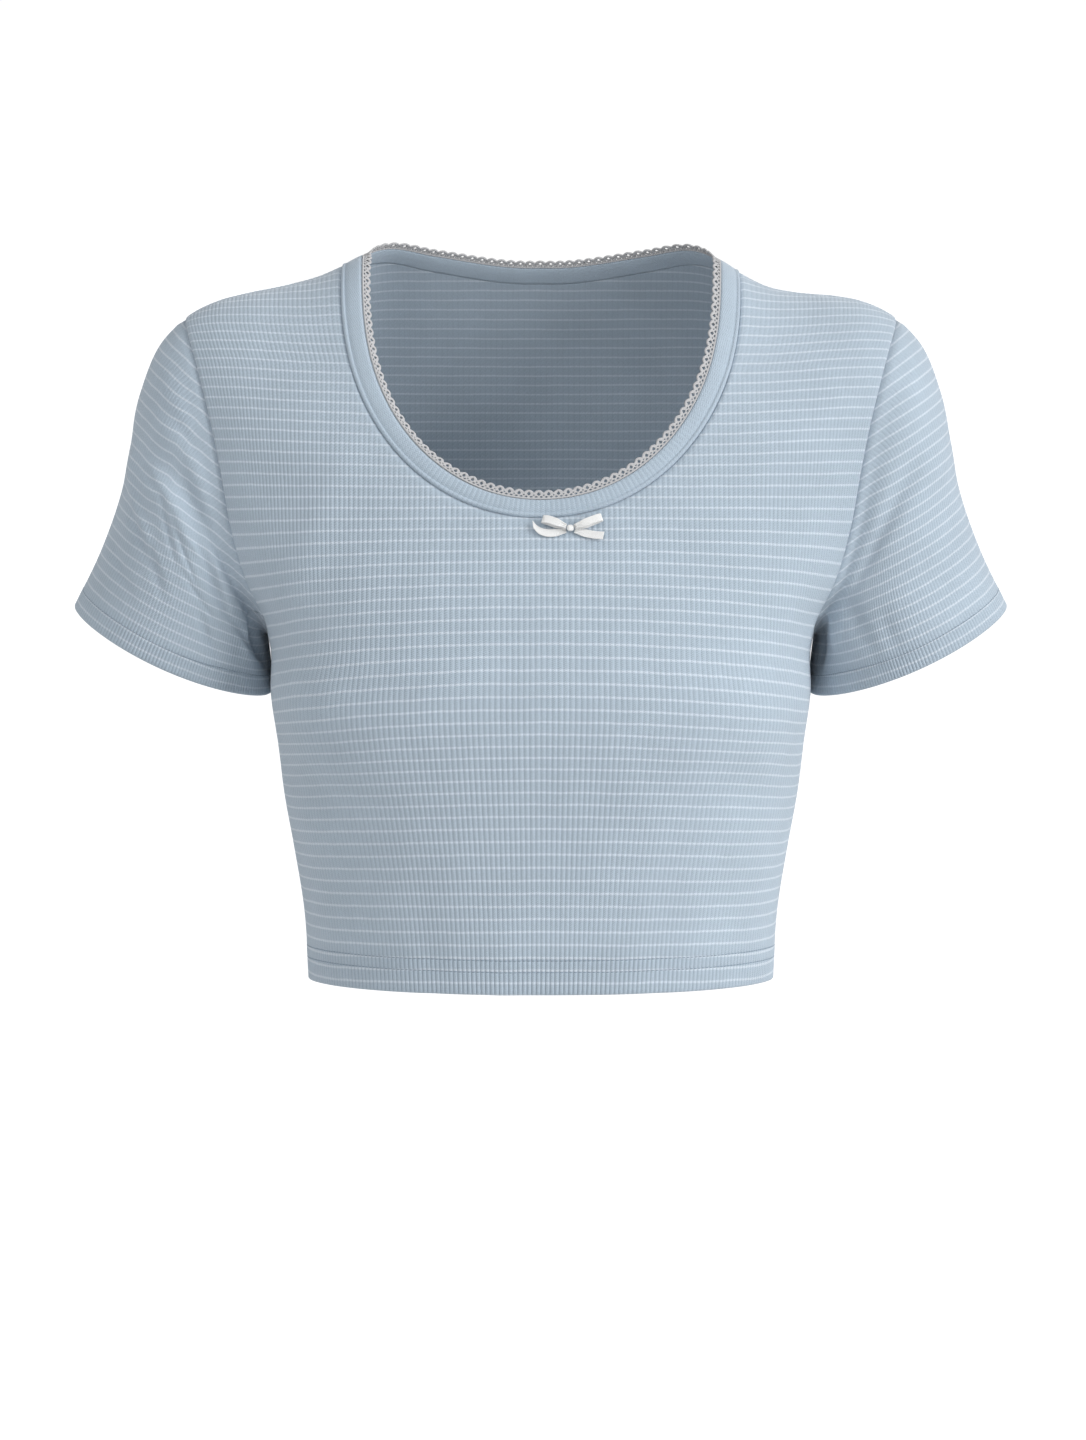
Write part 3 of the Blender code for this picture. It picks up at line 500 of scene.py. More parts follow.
foldNames = ("across", "along", "length", "width", "turn", "height")
folds = {          # swellings of the cloth, or creases where the height is below 0
    "rightSleeve": (    # drag from the shoulder, small wrinkles, and deep folds by the armpit
        (84, 34, 110, 11, -26, -4.2), (112, 60, 90, 11, 34, -2.6), (66, 60, 90, 9, -24, 1.6),
        (90, 60, 28, 3, -18, 1), (84, 76, 28, 3, 40, -1.2), (97, 94, 26, 3.2, 12, -1.3),
        (52, 66, 34, 2.8, -10, -1.2), (58, 20, 60, 4.5, -30, -1.3), (45, 105, 32, 3.4, 22, -2),
        (50, 97, 38, 4.2, 24, 1.6), (69, 78, 28, 3.4, 58, -1.6), (63, 107, 18, 3.2, 58, -1.5),
        (42, 131, 28, 3.6, 20, -1.6), (70, 114, 18, 3.6, 60, -1.2), (28, 84, 60, 9, 60, 1.4),
        (108, 120, 34, 4.5, 62, -2), (146, 46, 96, 8.5, 72, -5.4), (128, 76, 90, 8, 66, 1.5),
        (-74, 46, 90, 8.5, 24, -2.6), (-60, 94, 50, 5, -30, -1.6), (-46, 66, 60, 8, -34, 1.6),
        (-126, 60, 90, 7, -76, -3.6),
    ),
    "leftSleeve": (     # puckers beside the armpit come third to fifth
        (75, 42, 76, 10, -6, -2), (60, 64, 70, 10, -16, 1.4), (119, 72, 104, 5, 98, -2.4),
        (134, 66, 80, 6, 92, 1.8), (156, 62, 86, 8, 88, -4), (98, 128, 36, 5, 96, -1.4),
        (62, 118, 40, 6, -30, -0.9), (-70, 50, 80, 9, 20, -2.2), (-50, 108, 40, 5.5, -22, -1.4),
        (-120, 66, 96, 7, -80, -3.2),
    ),
    "front": (          # bust first, then the hollows below it and the pull to the armpits
        (-128, -222, 62, 26, 0, 4.5), (120, -222, 62, 28, 0, 1.6), (-132, -274, 70, 15, -8, -2.4),
        (112, -270, 76, 14, 6, -2.2), (-158, -236, 60, 9, 62, 1.4), (158, -232, 60, 9, -62, 1.2),
        (-128, -96, 70, 14, -12, 1.2), (132, -104, 70, 14, 12, 1), (-118, -140, 90, 10, 70, 1),
        (64, -352, 70, 10, 82, -0.7), (-58, -356, 60, 9, 96, -0.8), (-20, -370, 50, 8, 88, 0.6),
    ),
    "back": (
        (-124, -258, 90, 12, 40, 2), (120, -266, 90, 12, -38, 1.8), (-96, -216, 90, 9, 24, -1.8),
        (98, -222, 90, 9, -22, -1.7), (0, -268, 170, 13, 0, -1.8), (0, -330, 90, 12, 88, -1.6),
        (-64, -140, 110, 13, 84, 1.2), (70, -134, 110, 13, 96, 1.1), (-84, -352, 60, 10, 76, 1),
        (78, -356, 60, 9, 100, -0.9),
    ),
}
ridge = columnCurve(ridgeNames, ridgeRows, "z")
ridgeRound = columnCurve(ridgeNames, ridgeRows, "round")
halfWidth = columnCurve(sectionNames, sections, "halfWidth")


def foldHeight(piece, across, along):
    # sum of long round-ended swellings: height times a bell along and a bell across each fold
    total = np.zeros(np.broadcast(across, along).shape)
    for row in folds[piece]:
        fold = dict(zip(foldNames, row))
        c = math.cos(math.radians(fold["turn"]))
        s = math.sin(math.radians(fold["turn"]))
        right = across - fold["across"]
        up = along - fold["along"]
        run = (right * c + up * s) / (fold["length"] / 2)
        off = (up * c - right * s) / fold["width"]
        total = total + fold["height"] * np.exp(-run ** 2 - off ** 2)
    return total


def neckX(face, z):
    # half width of the neckline at a height: in front a rounded curve up from the centre, which
    # stops narrowing at its foot, and behind the whole width
    if face == "back":
        return neck["half"] + np.zeros_like(z)
    down = (neck["top"] - np.maximum(z, neck["foot"])) / (neck["top"] - neck["lowest"])
    return neck["half"] * (1 - np.clip(down, 0, 1) ** neck["down"]) ** (1 / neck["across"])


def neckZ(face, x):
    # height of the neckline at a distance from the centre: in front the same curve the other way
    # round, behind the shoulder ridge less a parabola
    out = np.clip(np.abs(x) / neck["half"], 0, 1)
    if face == "back":
        return ridge(x) - neck["backDrop"] * (1 - out ** 2)
    down = (1 - out ** neck["across"]) ** (1 / neck["down"])
    return neck["top"] - (neck["top"] - neck["lowest"]) * down


def makeForm(face):
    # superellipse sections at each level, read at even shares of their length, and the factors
    # of the shift a*s + b*s^3 that brings the neck and armhole ribs onto their seams
    root = 2 / columnCurve(sectionNames, sections, face + "Power")(levels)[:, None]
    angle = np.linspace(0, math.pi / 2, 721)
    x = halfWidth(levels)[:, None] * np.sin(angle) ** root
    y = columnCurve(sectionNames, sections, face)(levels)[:, None] * np.cos(angle) ** root
    arc = lengthAlong(np.stack((x, y), axis=-1), 1)
    share = np.linspace(0, 1, sampleCount)
    tables = [np.array([np.interp(share * line[-1], line, row) for line, row in zip(arc, given)])
              for given in (x, y)]
    girth = arc[int(body["underarm"] - levels[0]), -1]
    high = np.maximum(levels, body["armLine"])
    rows = (high - levels[0]).astype(int)
    neckShare = body["neckRib"] / body["sideRib"]
    armShare = body["armRib"] / body["sideRib"]

    def offAt(at, ribShare):
        place = np.array([np.interp(a, x[r], arc[r]) for a, r in zip(at, rows)])
        return (place - ribShare * girth) / ribShare

    neckOff = offAt(neckX(face, high), neckShare)
    armOff = offAt(columnCurve(armholeNames, armholeRows, face)(high), armShare)
    cubic = (armOff - neckOff) / (armShare ** 2 - neckShare ** 2)
    return {
        "face": face, "sign": -1 if face == "front" else 1, "x": tables[0], "y": tables[1],
        "total": arc[:, -1], "girth": girth, "cubic": cubic,
        "linear": neckOff - cubic * neckShare ** 2,
    }


def placeOn(form, rib, z):
    # place of a rib at a height: even shares of the girth below the bust, shifted above it, on
    # the section, which rounds into the shoulder ridge as depth times (1 - (1 - f)^p)^(1/p)
    share = np.abs(rib) / body["sideRib"]
    edge = body["armRib"] / body["sideRib"]
    inner = np.minimum(share, edge)
    rise = smoothStep(body["gatherFoot"], body["armLine"], z)
    fade = np.minimum((1 - share) / (1 - edge), 1)
    linear = np.interp(z, levels, form["linear"])
    cubic = np.interp(z, levels, form["cubic"])
    arc = share * np.interp(np.minimum(z, body["underarm"]), levels, form["total"])
    arc = arc + rise * fade * (linear * inner + cubic * inner ** 3)
    total = np.interp(z, levels, form["total"])
    at = np.clip(arc / total, 0, 1) * (sampleCount - 1)
    x = sampleGrid(form["x"], z - levels[0], at)
    y = sampleGrid(form["y"], z - levels[0], at)
    fall = np.clip((ridge(x) - z) / ridgeRound(x), 0, 1)
    y = y * (1 - (1 - fall) ** body["ridgePower"]) ** (1 / body["ridgePower"])
    return np.sign(rib) * x, form["sign"] * y, arc, arc / total


def topOf(form, rib):
    # height at which a rib ends, on the neckline or on the shoulder ridge, found by repeating
    z = np.full(rib.shape, -60.0)
    for _ in range(12):
        x = np.abs(placeOn(form, rib, z)[0])
        z = np.where(np.abs(rib) < body["neckRib"], neckZ(form["face"], x), ridge(x))
    return z


# Stripes of the body

stripeRows = (     # height of a stripe at the centre, and its number
    (-400.5, 40), (-372.9, 36), (-345.6, 32), (-317.7, 28), (-289.9, 24), (-264.0, 20), (-239.7, 16),
    (-213.6, 12), (-187.5, 8), (-164.5, 4), (-142.3, 0), (-119.0, -4), (-97.2, -8),
)
sagRows = (        # height, and how far a stripe hangs lower at the side seam
    (-420, 14), (-373, 15), (-332, 17), (-311, 21), (-290, 23), (-270, 26.6), (-252, 28.5),
    (-240, 32), (-227, 34), (-213, 33), (-187, 30), (-164, 24), (-142, 14), (-120, 7), (-100, 2),
    (-60, -4), (-20, -4), (20, -4),
)
spacingRows = ((-142, 5.6), (-60, 5.6), (-45, 6.1), (-25, 6.7), (20, 6.8))   # on the cloth, above
stripeFoot = -142.0
bendRows = ((0, 0), (0.2, 0.029), (0.4, 0.133), (0.6, 0.325), (0.7, 0.45), (0.85, 0.6), (1, 0.7))
sagBend = smoothCurve(*zip(*bendRows))
sag = smoothCurve(*zip(*sagRows))
stripeNumber = smoothCurve(*zip(*stripeRows))
stripeSpacing = smoothCurve(*zip(*spacingRows))


def stripeMap(z, share, points):
    # stripe number: by height with the sag added below the chest, and by the length of cloth,
    # walked up each rib and divided by the spacing, above it
    low = np.minimum(z, stripeFoot)
    bend = sagBend(share)
    number = stripeNumber(low + sag(low) * bend)
    step = np.linalg.norm(np.diff(points, axis=0), axis=-1)
    above = np.clip((z[1:] - stripeFoot) / np.maximum(z[1:] - z[:-1], 1e-9), 0, 1)
    middle = (z[1:] + z[:-1]) / 2
    walked = np.pad(np.cumsum(above * step / stripeSpacing(middle), axis=0), ((1, 0), (0, 0)))
    lift = (sag(np.maximum(z, stripeFoot)) - sag(stripeFoot)) * bend / stripeSpacing(z)
    return number - walked - lift


def depthAt(distance, reach):
    # ribs stretched flat near the shoulders, and deeper the further down
    return reach[0] + (1 - reach[0]) * smoothStep(reach[1], reach[2], distance)


# Rib knit with a turned-up hem, of the panels and the sleeves

wall = {
    "thick": 1.2, "ribHeight": 0.38, "seamDip": 1.0, "seamReach": 1.1, "seamRibs": 0.7,
    "hemExtra": 0.9, "hemPucker": 0.5, "stitchPinch": 0.32, "stitchReach": 0.55,
    "edgeHeight": -0.2, "edgeShare": 0.55,
}


def makeWall(name, solid, middle, normals, cells, uv, cut, fromHem, toSeam, down):
    # shell of rib knit: ribs on the outer layer, deeper further down and at the hem, drawn in at
    # the seams and at the lines of stitches, and more thickness inside where the hem turns up
    seam = bellAt(toSeam, wall["seamReach"])
    pinch = sum(bellAt(fromHem - line, wall["stitchReach"]) for line in cut["stitchLines"])
    pucker = 1 - smoothStep(*cut["puckerEnd"], fromHem)
    deep = depthAt(down, cut["ribDepth"]) * (1 + wall["hemPucker"] * pucker)
    ribs = np.resize(ribShape, middle.shape[1]) * wall["ribHeight"] * cut["ribShare"]
    height = wall["thick"] / 2 + ribs * deep * (1 - wall["seamRibs"] * seam)
    height = height - wall["stitchPinch"] * pinch - wall["seamDip"] * seam
    height[0] = wall["edgeHeight"]
    height[1] = height[1] * wall["edgeShare"]
    depth = wall["thick"] / 2 + wall["hemExtra"] * (1 - smoothStep(*cut["hemEnd"], fromHem))
    outer = middle + normals * height[..., None]
    inner = middle - normals * depth[..., None]
    # the rib depth also goes to the material, where it sets how much painted shade the grooves get
    return makeShell(name, solid, outer, inner, normals, cells, panelKnit, uv, deep), outer


# Body panels

panel = {
    "hemSteps": (0.0, 0.35, 1.2, 3.0, 6.0, 9.0, 11.2, 12.0, 12.7, 13.4, 14.2, 16.0, 17.8, 18.4,
                 19.0, 19.6, 20.6, 23.0),
    "stitchLines": (12.7, 19.0), "puckerEnd": (17.0, 24.0), "hemEnd": (18.0, 20.6),
    "rowStep": 6.2, "neckStep": 2.0, "ribDepth": (0.5, -30.0, -140.0), "ribShare": 1.0,
    "foldFade": 6, "samples": 2001,
}


def makePanel(face):
    form = makeForm(face)
    side = body["sideRib"]
    rib = np.append((np.arange(-side, side)[:, None] + ribPhases).ravel(), side)
    far = np.abs(rib)
    hem = body["hemSide"] + np.zeros_like(rib)
    if face == "front":
        hem = body["hemFront"] + (body["hemSide"] - body["hemFront"]) * (far / side) ** 3
    out = 1 - np.clip((far - body["armRib"]) / (side - body["armRib"]), 0, 1)
    armLine = body["underarm"] + (body["armLine"] - body["underarm"]) * out ** body["armPower"]
    rows = [hem + step for step in panel["hemSteps"]]
    count = round((body["armLine"] - body["hemSide"] - panel["hemSteps"][-1]) / panel["rowStep"])
    rows += [rows[-1] + (armLine - rows[-1]) * (k + 1) / count for k in range(count)]
    armRow = len(rows) - 1
    inner = far < body["neckRib"]
    neckLine = topOf(form, np.where(inner, rib, 0.0))
    ridgeLine = topOf(form, np.clip(far, body["neckRib"], body["armRib"]))
    # rows of the chest lie evenly on the cloth of a rib that runs into the middle of the shoulder
    middleRib = np.full(panel["samples"], (body["neckRib"] + body["armRib"]) / 2)
    part = 1 - (1 - np.linspace(0, 1, panel["samples"])) ** 2
    z = body["armLine"] + part * (topOf(form, middleRib[:1]) - body["armLine"])
    x, y, *_ = placeOn(form, middleRib, z)
    walked = lengthAlong(np.stack((x, y, z), axis=-1))
    footShare = neck["footShare"][face]
    foot = np.interp(footShare, part, walked)
    lowCount = round(foot / panel["rowStep"])
    highCount = round((walked[-1] - foot) / panel["rowStep"]) + 1
    low = np.insert(np.linspace(0, foot, lowCount + 1)[1:], -1, foot - panel["neckStep"])
    chest = np.append(low, np.linspace(foot, walked[-1], highCount + 1)[1:])
    for step in np.interp(chest, walked, part):
        toNeck = np.minimum(step / footShare, 1) * (neckLine - body["armLine"])
        rows.append(body["armLine"] + np.where(inner, toNeck, step * (ridgeLine - body["armLine"])))
    neckRow = armRow + len(low)
    z = np.array(rows)
    grid = np.broadcast_to(rib, z.shape)
    x, y, arc, arcShare = placeOn(form, grid, z)
    drop = np.exp(-((x - body["dropPlace"][0]) / body["dropReach"][0]) ** 2
                  - ((z - body["dropPlace"][1]) / body["dropReach"][1]) ** 2)
    points = np.stack((x, y, z - body["drop"] * drop), axis=-1)
    middle = (far[:-1] + far[1:]) / 2
    cells = np.zeros((len(z) - 1, len(rib) - 1), bool)
    cells[:armRow] = True
    cells[armRow:neckRow] = middle < body["armRib"]
    cells[neckRow:] = (middle < body["armRib"]) & (middle > body["neckRib"])
    made = {
        "form": form, "grid": grid, "points": points, "armRow": armRow, "neckRow": neckRow,
        "topRow": len(z) - 1, "arm": np.searchsorted(rib, (-body["armRib"], body["armRib"])),
        "neck": np.searchsorted(rib, (-body["neckRib"], body["neckRib"])),
    }
    normals = panelNormals(made)
    toSeam = seamDistance(made)
    fade = np.clip((side - np.abs(grid)) / panel["foldFade"], 0, 1)
    bend = foldHeight(face, np.sign(grid) * arc, z) * fade
    made["normals"] = normals
    made["points"] = points + normals * bend[..., None]
    uv = np.stack((grid + side, stripeMap(z, arcShare, points)), axis=-1)
    made["piece"], made["outer"] = makeWall(
        face + "Panel", face + "_panel", made["points"], normals, cells, uv, panel, z - z[:1],
        toSeam, z)
    return made


def panelNormals(made):
    # normals of each block of the grid from its own cells, with no part to the front or the back
    # along the side and shoulder seams
    points = made["points"]
    armRow = made["armRow"]
    neckRow = made["neckRow"]
    armLeft, armRight = made["arm"]
    neckLeft, neckRight = made["neck"]
    normals = gridNormals(points)
    normals[:armRow + 1] = gridNormals(points[:armRow + 1])
    chest = slice(armLeft, armRight + 1)
    normals[armRow:neckRow + 1, chest] = gridNormals(points[:neckRow + 1, chest])[armRow:]
    for block in (slice(armLeft, neckLeft + 1), slice(neckRight, armRight + 1)):
        normals[neckRow:, block] = gridNormals(points[:, block])[neckRow:]
    normals[:armRow + 1, [0, -1], 1] = 0
    normals[made["topRow"], :, 1] = 0
    return unit(normals) * -made["form"]["sign"]


def seamDistance(made):
    # distance over the cloth to the nearest seam, along the rows or along the ribs
    armRow = made["armRow"]
    neckRow = made["neckRow"]
    across = lengthAlong(made["points"], 1)
    up = lengthAlong(made["points"])
    far = np.abs(made["grid"])
    row = np.arange(len(far))[:, None]
    below = row <= armRow
    beside = (row >= armRow) & (far <= body["armRib"])
    shoulder = (row >= neckRow) & (far >= body["neckRib"])
    seams = [(across[:, [column]] - across, where)
             for columns, where in (((0, -1), below), (made["arm"], beside), (made["neck"], shoulder))
             for column in columns]
    seams += [(up[[line]] - up, where)
              for line, where in ((armRow, below & (far >= body["armRib"])),
                                  (neckRow, (row <= neckRow) & (far <= body["neckRib"])),
                                  (made["topRow"], far >= body["neckRib"]))]
    away = np.full(far.shape, 1e3)
    for gap, where in seams:
        away = np.where(where, np.minimum(away, np.abs(gap)), away)
    return away


front = makePanel("front")
back = makePanel("back")

# Sleeves

sleeve = {
    "length": 170.0, "girth": 360.0, "ribs": 168, "stripeLean": {-1: 4.0, 1: 0.0},
    "hemSteps": (0.0, 0.4, 1.3, 3.0, 5.5, 8.0, 9.6, 10.2, 10.8, 11.4, 12.4),
    "stitchLines": (10.8,), "puckerEnd": (10.0, 15.0), "hemEnd": (11.0, 13.0), "rowStep": 3.0,
    "seamRoll": 2.6, "seamRollReach": 0.04, "underRoll": 1.7, "underRollReach": 0.14,
    "underRollTurn": 0.55, "stripeStart": 5.0, "stripeSpacing": 5.7,
    "ribDepth": (0.5, 30.0, 130.0), "ribShare": 0.85, "foldFade": 0.1, "samples": 60,
    "seamSmooth": 6, "fitTo": 0.25,
}
sleeveNames = ("along", "topX", "topZ", "lowX", "lowZ", "half", "drop")
sleeveRows = (
    (0.00, 188.5, -34.0, 143.3, -203.0, 56.0, 0.0), (0.10, 201.0, -48.0, 145.8, -202.0, 57.0, 0.0),
    (0.25, 212.0, -73.0, 145.7, -207.0, 58.0, 0.5), (0.42, 217.5, -99.0, 145.6, -213.0, 59.0, 1.0),
    (0.60, 222.5, -125.0, 145.5, -219.0, 59.0, 2.0), (0.80, 234.0, -157.0, 145.4, -226.5, 58.5, 3.0),
    (1.00, 249.0, -187.5, 145.3, -234.0, 58.0, 4.0),
)
sleeveCurves = {name: columnCurve(sleeveNames, sleeveRows, name) for name in sleeveNames[1:]}


def joinLoops(path, key):
    # closed line of one value of both panels: the front one way, then the back the other way,
    # with one value where they meet
    ahead = path(front, front[key])
    behind = path(back, back[key])
    start = (ahead[:1] + behind[:1]) / 2
    end = (ahead[-1:] + behind[-1:]) / 2
    return np.concatenate((start, ahead[1:-1], end, behind[-2:0:-1]))


def neckPath(made, values):
    # values along the neckline, from the wearer's right shoulder down and round to the left one
    right, left = made["neck"]
    top = made["topRow"]
    row = made["neckRow"]
    return np.concatenate((
        values[top:row:-1, right], values[row, right:left + 1], values[row + 1:top + 1, left]))


def acrossLoop(points, normals, towards):
    # direction in the cloth across a closed seam, on the side of a given point
    along = np.roll(points, -1, axis=0) - np.roll(points, 1, axis=0)
    across = unit(np.cross(along, normals))
    return across if np.sum(across * (towards - points)) > 0 else -across


def sleeveRing(along, turn, side):
    # ellipse from the ring's upper to its lower point, hanging lower in front and behind
    size = {name: curve(along) for name, curve in sleeveCurves.items()}
    c = np.cos(turn)
    s = np.sin(turn)
    x = (size["topX"] + size["lowX"]) / 2 + (size["topX"] - size["lowX"]) / 2 * c
    z = (size["topZ"] + size["lowZ"]) / 2 + (size["topZ"] - size["lowZ"]) / 2 * c
    return np.stack((side * x, -size["half"] * s, z - size["drop"] * s * s), axis=-1)


def swelling(along, reach):
    # rises to 1 at reach and falls off beyond it
    return along / reach * np.exp(1 - along / reach)


def makeSleeve(name, side, solid):
    def armPath(made, values):
        # from the shoulder tip down the arm rib and out to the underarm
        arm = made["arm"][(side + 1) // 2]
        down = values[made["topRow"]:made["armRow"]:-1, arm]
        return np.concatenate((down, values[made["armRow"], arm::side]))

    loop = joinLoops(armPath, "points")
    ribNumber = (np.arange(sleeve["ribs"])[:, None] + ribPhases).ravel()
    readSeam = loopReader(loop, ribNumber / sleeve["ribs"])
    seam = readSeam(loop)
    normals = readSeam(unit(joinLoops(armPath, "normals")))
    normals = unit(smoothLoop(normals, sleeve["seamSmooth"]))
    cuffCentre = sleeveRing(1.0, np.array([0.0, math.pi]), side).mean(axis=0)
    across = acrossLoop(seam, normals, cuffCentre)
    top, bottom = sleeveRing(0.0, np.array([0.0, math.pi]), side)
    centre = (top + bottom) / 2
    axis = (top - bottom) / 2
    turn = np.arctan2(-seam[:, 1] / sleeveCurves["half"](0.0), (seam - centre) @ axis / (axis @ axis))
    fit = seam - sleeveRing(0.0, turn, side)
    down = unit(sleeveRing(sleeve["fitTo"], turn, side) - sleeveRing(0.0, turn, side))
    folded = np.clip(sleeve["underRollTurn"] - np.sum(down * across, axis=1), 0, 1)

    def ringAt(along):
        base = sleeveRing(along, turn, side) + fit * ((1 - along) ** 2)[..., None]
        roll = swelling(along, sleeve["seamRollReach"]) * sleeve["seamRoll"]
        under = swelling(along, sleeve["underRollReach"]) * sleeve["underRoll"] * folded
        return base + across * roll[..., None] + normals * under[..., None]

    # rows at fixed distances from the cuff, then evenly up to the seam
    fine = np.linspace(0, 1, sleeve["samples"])[:, None] + np.zeros(len(turn))
    length = lengthAlong(ringAt(fine))[-1]
    steps = np.array(sleeve["hemSteps"])
    count = round((sleeve["length"] - steps[-1]) / sleeve["rowStep"])
    share = (np.arange(count) + 1) / count
    fromCuff = np.concatenate((steps[:, None] + np.zeros(len(turn)),
                               steps[-1] + share[:, None] * (length - steps[-1])))
    along = np.clip(1 - fromCuff / length, 0, 1)
    rings = ringAt(along)
    looped = np.concatenate((rings[:, -2:], rings, rings[:, :2]), axis=1)
    ringNormals = gridNormals(looped)[:, 2:-2]
    if np.sum(ringNormals * (rings - rings.mean(axis=1, keepdims=True))) < 0:
        ringNormals = -ringNormals
    ringNormals[-1] = normals
    bend = foldHeight(name, turn / (2 * math.pi) * sleeve["girth"], along * sleeve["length"])
    bend = bend * np.clip(along / sleeve["foldFade"], 0, 1)
    rings = rings + ringNormals * bend[..., None]
    walked = lengthAlong(rings)
    # stripes lean towards the armpit as they near the seam
    moved = walked + sleeve["stripeLean"][side] * (1 - np.cos(turn)) * (1 - along)
    stripe = (moved - sleeve["stripeStart"]) / sleeve["stripeSpacing"]
    uv = np.stack((np.broadcast_to(ribNumber, walked.shape), stripe), axis=-1)
    cells = np.ones((len(rings) - 1, len(turn)), bool)
    piece, outer = makeWall(
        name, solid, rings, ringNormals, cells, uv, sleeve, walked, walked[-1:] - walked,
        along * sleeve["length"])
    return {"outer": outer, "normals": ringNormals}


rightSleeve = makeSleeve("rightSleeve", -1, "right_sleeve")
leftSleeve = makeSleeve("leftSleeve", 1, "left_sleeve")

# Neck binding and picot edging

binding = {
    "stations": 860, "smoothing": 140, "side": 11.5, "front": 9.5, "gap": 0.1, "course": 6.4,
    "ribs": 246, "ribHeight": 0.2, "ribDepth": (0.12, 0.45, 0.95),
}
bindingProfile = (     # part of the width, offset and height, and how much of the radial ribs shows
    (0.0, 0.0, -0.6, 0.0), (0.0, 0.0, -0.1, 0.0), (0.0, 0.25, 0.6, 0.0), (0.0, 0.7, 1.2, 0.3),
    (0.0, 1.3, 1.4, 0.5), (0.0, 1.9, 1.25, 0.5), (0.0, 2.35, 0.7, 0.4), (0.0, 2.65, 0.66, 0.4),
    (0.0, 3.2, 0.98, 0.7), (0.4, 1.2, 1.05, 0.9), (0.6, 0.8, 1.05, 1.0), (0.8, 0.4, 0.95, 1.0),
    (1.0, -0.8, 0.8, 0.9), (1.0, -0.25, 0.45, 0.5), (1.0, 0.0, 0.0, 0.0), (1.0, -0.25, -0.45, 0.2),
    (1.0, -1.0, -0.75, 0.3), (0.5, 0.0, -0.8, 0.3), (0.0, 1.6, -0.75, 0.1),
)

neckLoop = joinLoops(neckPath, "points")
neckLean = joinLoops(neckPath, "normals")


def neckStations(count):
    # even stations round the neckline: place, outward normal, direction to the neck, width of
    # the binding, and how deep in the neckline from 0 at its top to 1
    at = np.arange(count) / count
    readNeck = loopReader(neckLoop, at)
    reach = max(2, count // binding["smoothing"])
    points = smoothLoop(readNeck(neckLoop), max(1, reach // 3))
    normals = unit(smoothLoop(readNeck(neckLean), reach))
    across = acrossLoop(points, normals, points.mean(axis=0))
    across = unit(smoothLoop(across, reach))
    deep = np.clip((neck["top"] - points[:, 2]) / (neck["top"] - neck["lowest"]), 0, 1)
    width = binding["side"] + (binding["front"] - binding["side"]) * deep
    return at, points, normals, across, width, deep


def makeBinding():
    # the profile carried round the neckline, its radial ribs a cosine of the rib number
    at, points, normals, across, width, low = neckStations(binding["stations"])
    deep = depthAt(low * (points[:, 1] < 0), binding["ribDepth"])
    wave = np.cos(at * 2 * math.pi * binding["ribs"]) * deep
    part, offset, height, shows = np.array(bindingProfile).T
    out = width[:, None] * part + offset + binding["gap"]
    tall = height + np.sign(height) * shows * binding["ribHeight"] * wave[:, None]
    rings = points[:, None] + across[:, None] * out[..., None] + normals[:, None] * tall[..., None]
    rib = at[:, None] * binding["ribs"] + 0.5
    uv = np.stack(np.broadcast_arrays(rib, out / binding["course"]), axis=-1).reshape(-1, 2)
    index = np.arange(out.size).reshape(out.shape)
    faces = gridQuads(np.concatenate((index, index[:1]))).reshape(-1, 4)
    flat = rings.reshape(-1, 3)
    middle = points + across * (width / 2)[:, None]
    outwards = flat[faces].mean(axis=1) - np.repeat(middle, len(part), axis=0)
    faces = facedTo(flat, [faces], outwards)
    # the rib depth goes to the material too, for the painted shade of the grooves
    return makePiece("neckBinding", "neck_binding", flat, faces, bindingKnit, uv,
                     np.repeat(deep, len(part)))


neckBinding = makeBinding()

picot = {
    "scallops": 118, "perScallop": 12, "start": 0.25, "wide": 3.4, "tooth": 1.5, "rows": 14,
    "thick": 0.32, "cord": (0.28, 0.08, 0.09), "edgeRoll": (0.16, 0.93, 0.08), "rimShare": 0.5,
    "wavePower": 0.8, "turnIn": 48.0, "turnFrom": (18.0, 74.0), "turnReach": 24, "turnGap": 1.9,
}
# cells of one scallop left open, as (row, first cell, last cell), staggered in two lines of holes
picotHoles = (
    (3, 2, 3), (4, 1, 4), (5, 2, 3), (3, 8, 9), (4, 7, 10), (5, 8, 9),
    (7, 5, 6), (8, 4, 7), (9, 4, 7), (10, 5, 6), (7, 11, 11), (8, 11, 11), (7, 0, 0), (8, 0, 0),
)


def makePicot():
    # flat band with a corded foot, two lines of small holes and a wavy edge; on the wearer's
    # right it turns in under the binding
    count = picot["scallops"]
    each = picot["perScallop"]
    at, points, normals, across, width, _ = neckStations(count * each)
    inwards = smoothStep(*picot["turnFrom"], -points[:, 0]) * (points[:, 1] < 0)
    turn = np.radians(picot["turnIn"]) * smoothLoop(inwards, picot["turnReach"])[:, None]
    way = across * np.cos(turn) - normals * np.sin(turn)
    out = normals * np.cos(turn) + across * np.sin(turn)
    share = np.linspace(0, 1, picot["rows"])[:, None]
    wave = np.abs(np.sin(at * count * math.pi)) ** picot["wavePower"]
    reach = share * (picot["wide"] + picot["tooth"] * wave * share ** 3)
    start = width[:, None] + picot["start"] + picot["thick"] * picot["turnGap"] * np.sin(turn)
    middle = points + across * start + way * reach[..., None]
    tall = sum(bellAt(share - place, wide) * height
               for height, place, wide in (picot["cord"], picot["edgeRoll"]))
    tall = (picot["thick"] + tall) * np.where(share < 1, 1, picot["rimShare"])
    lift = out * np.broadcast_to(tall, reach.shape)[..., None]
    cells = np.ones((picot["rows"] - 1, count, each), bool)
    for row, first, last in picotHoles:
        cells[row, :, first:last + 1] = False
    cells = cells.reshape(picot["rows"] - 1, -1)
    return makeShell("picotTrim", "picot_trim", middle + lift, middle - lift,
                     np.broadcast_to(out, middle.shape), cells, elasticLook)


picotTrim = makePicot()

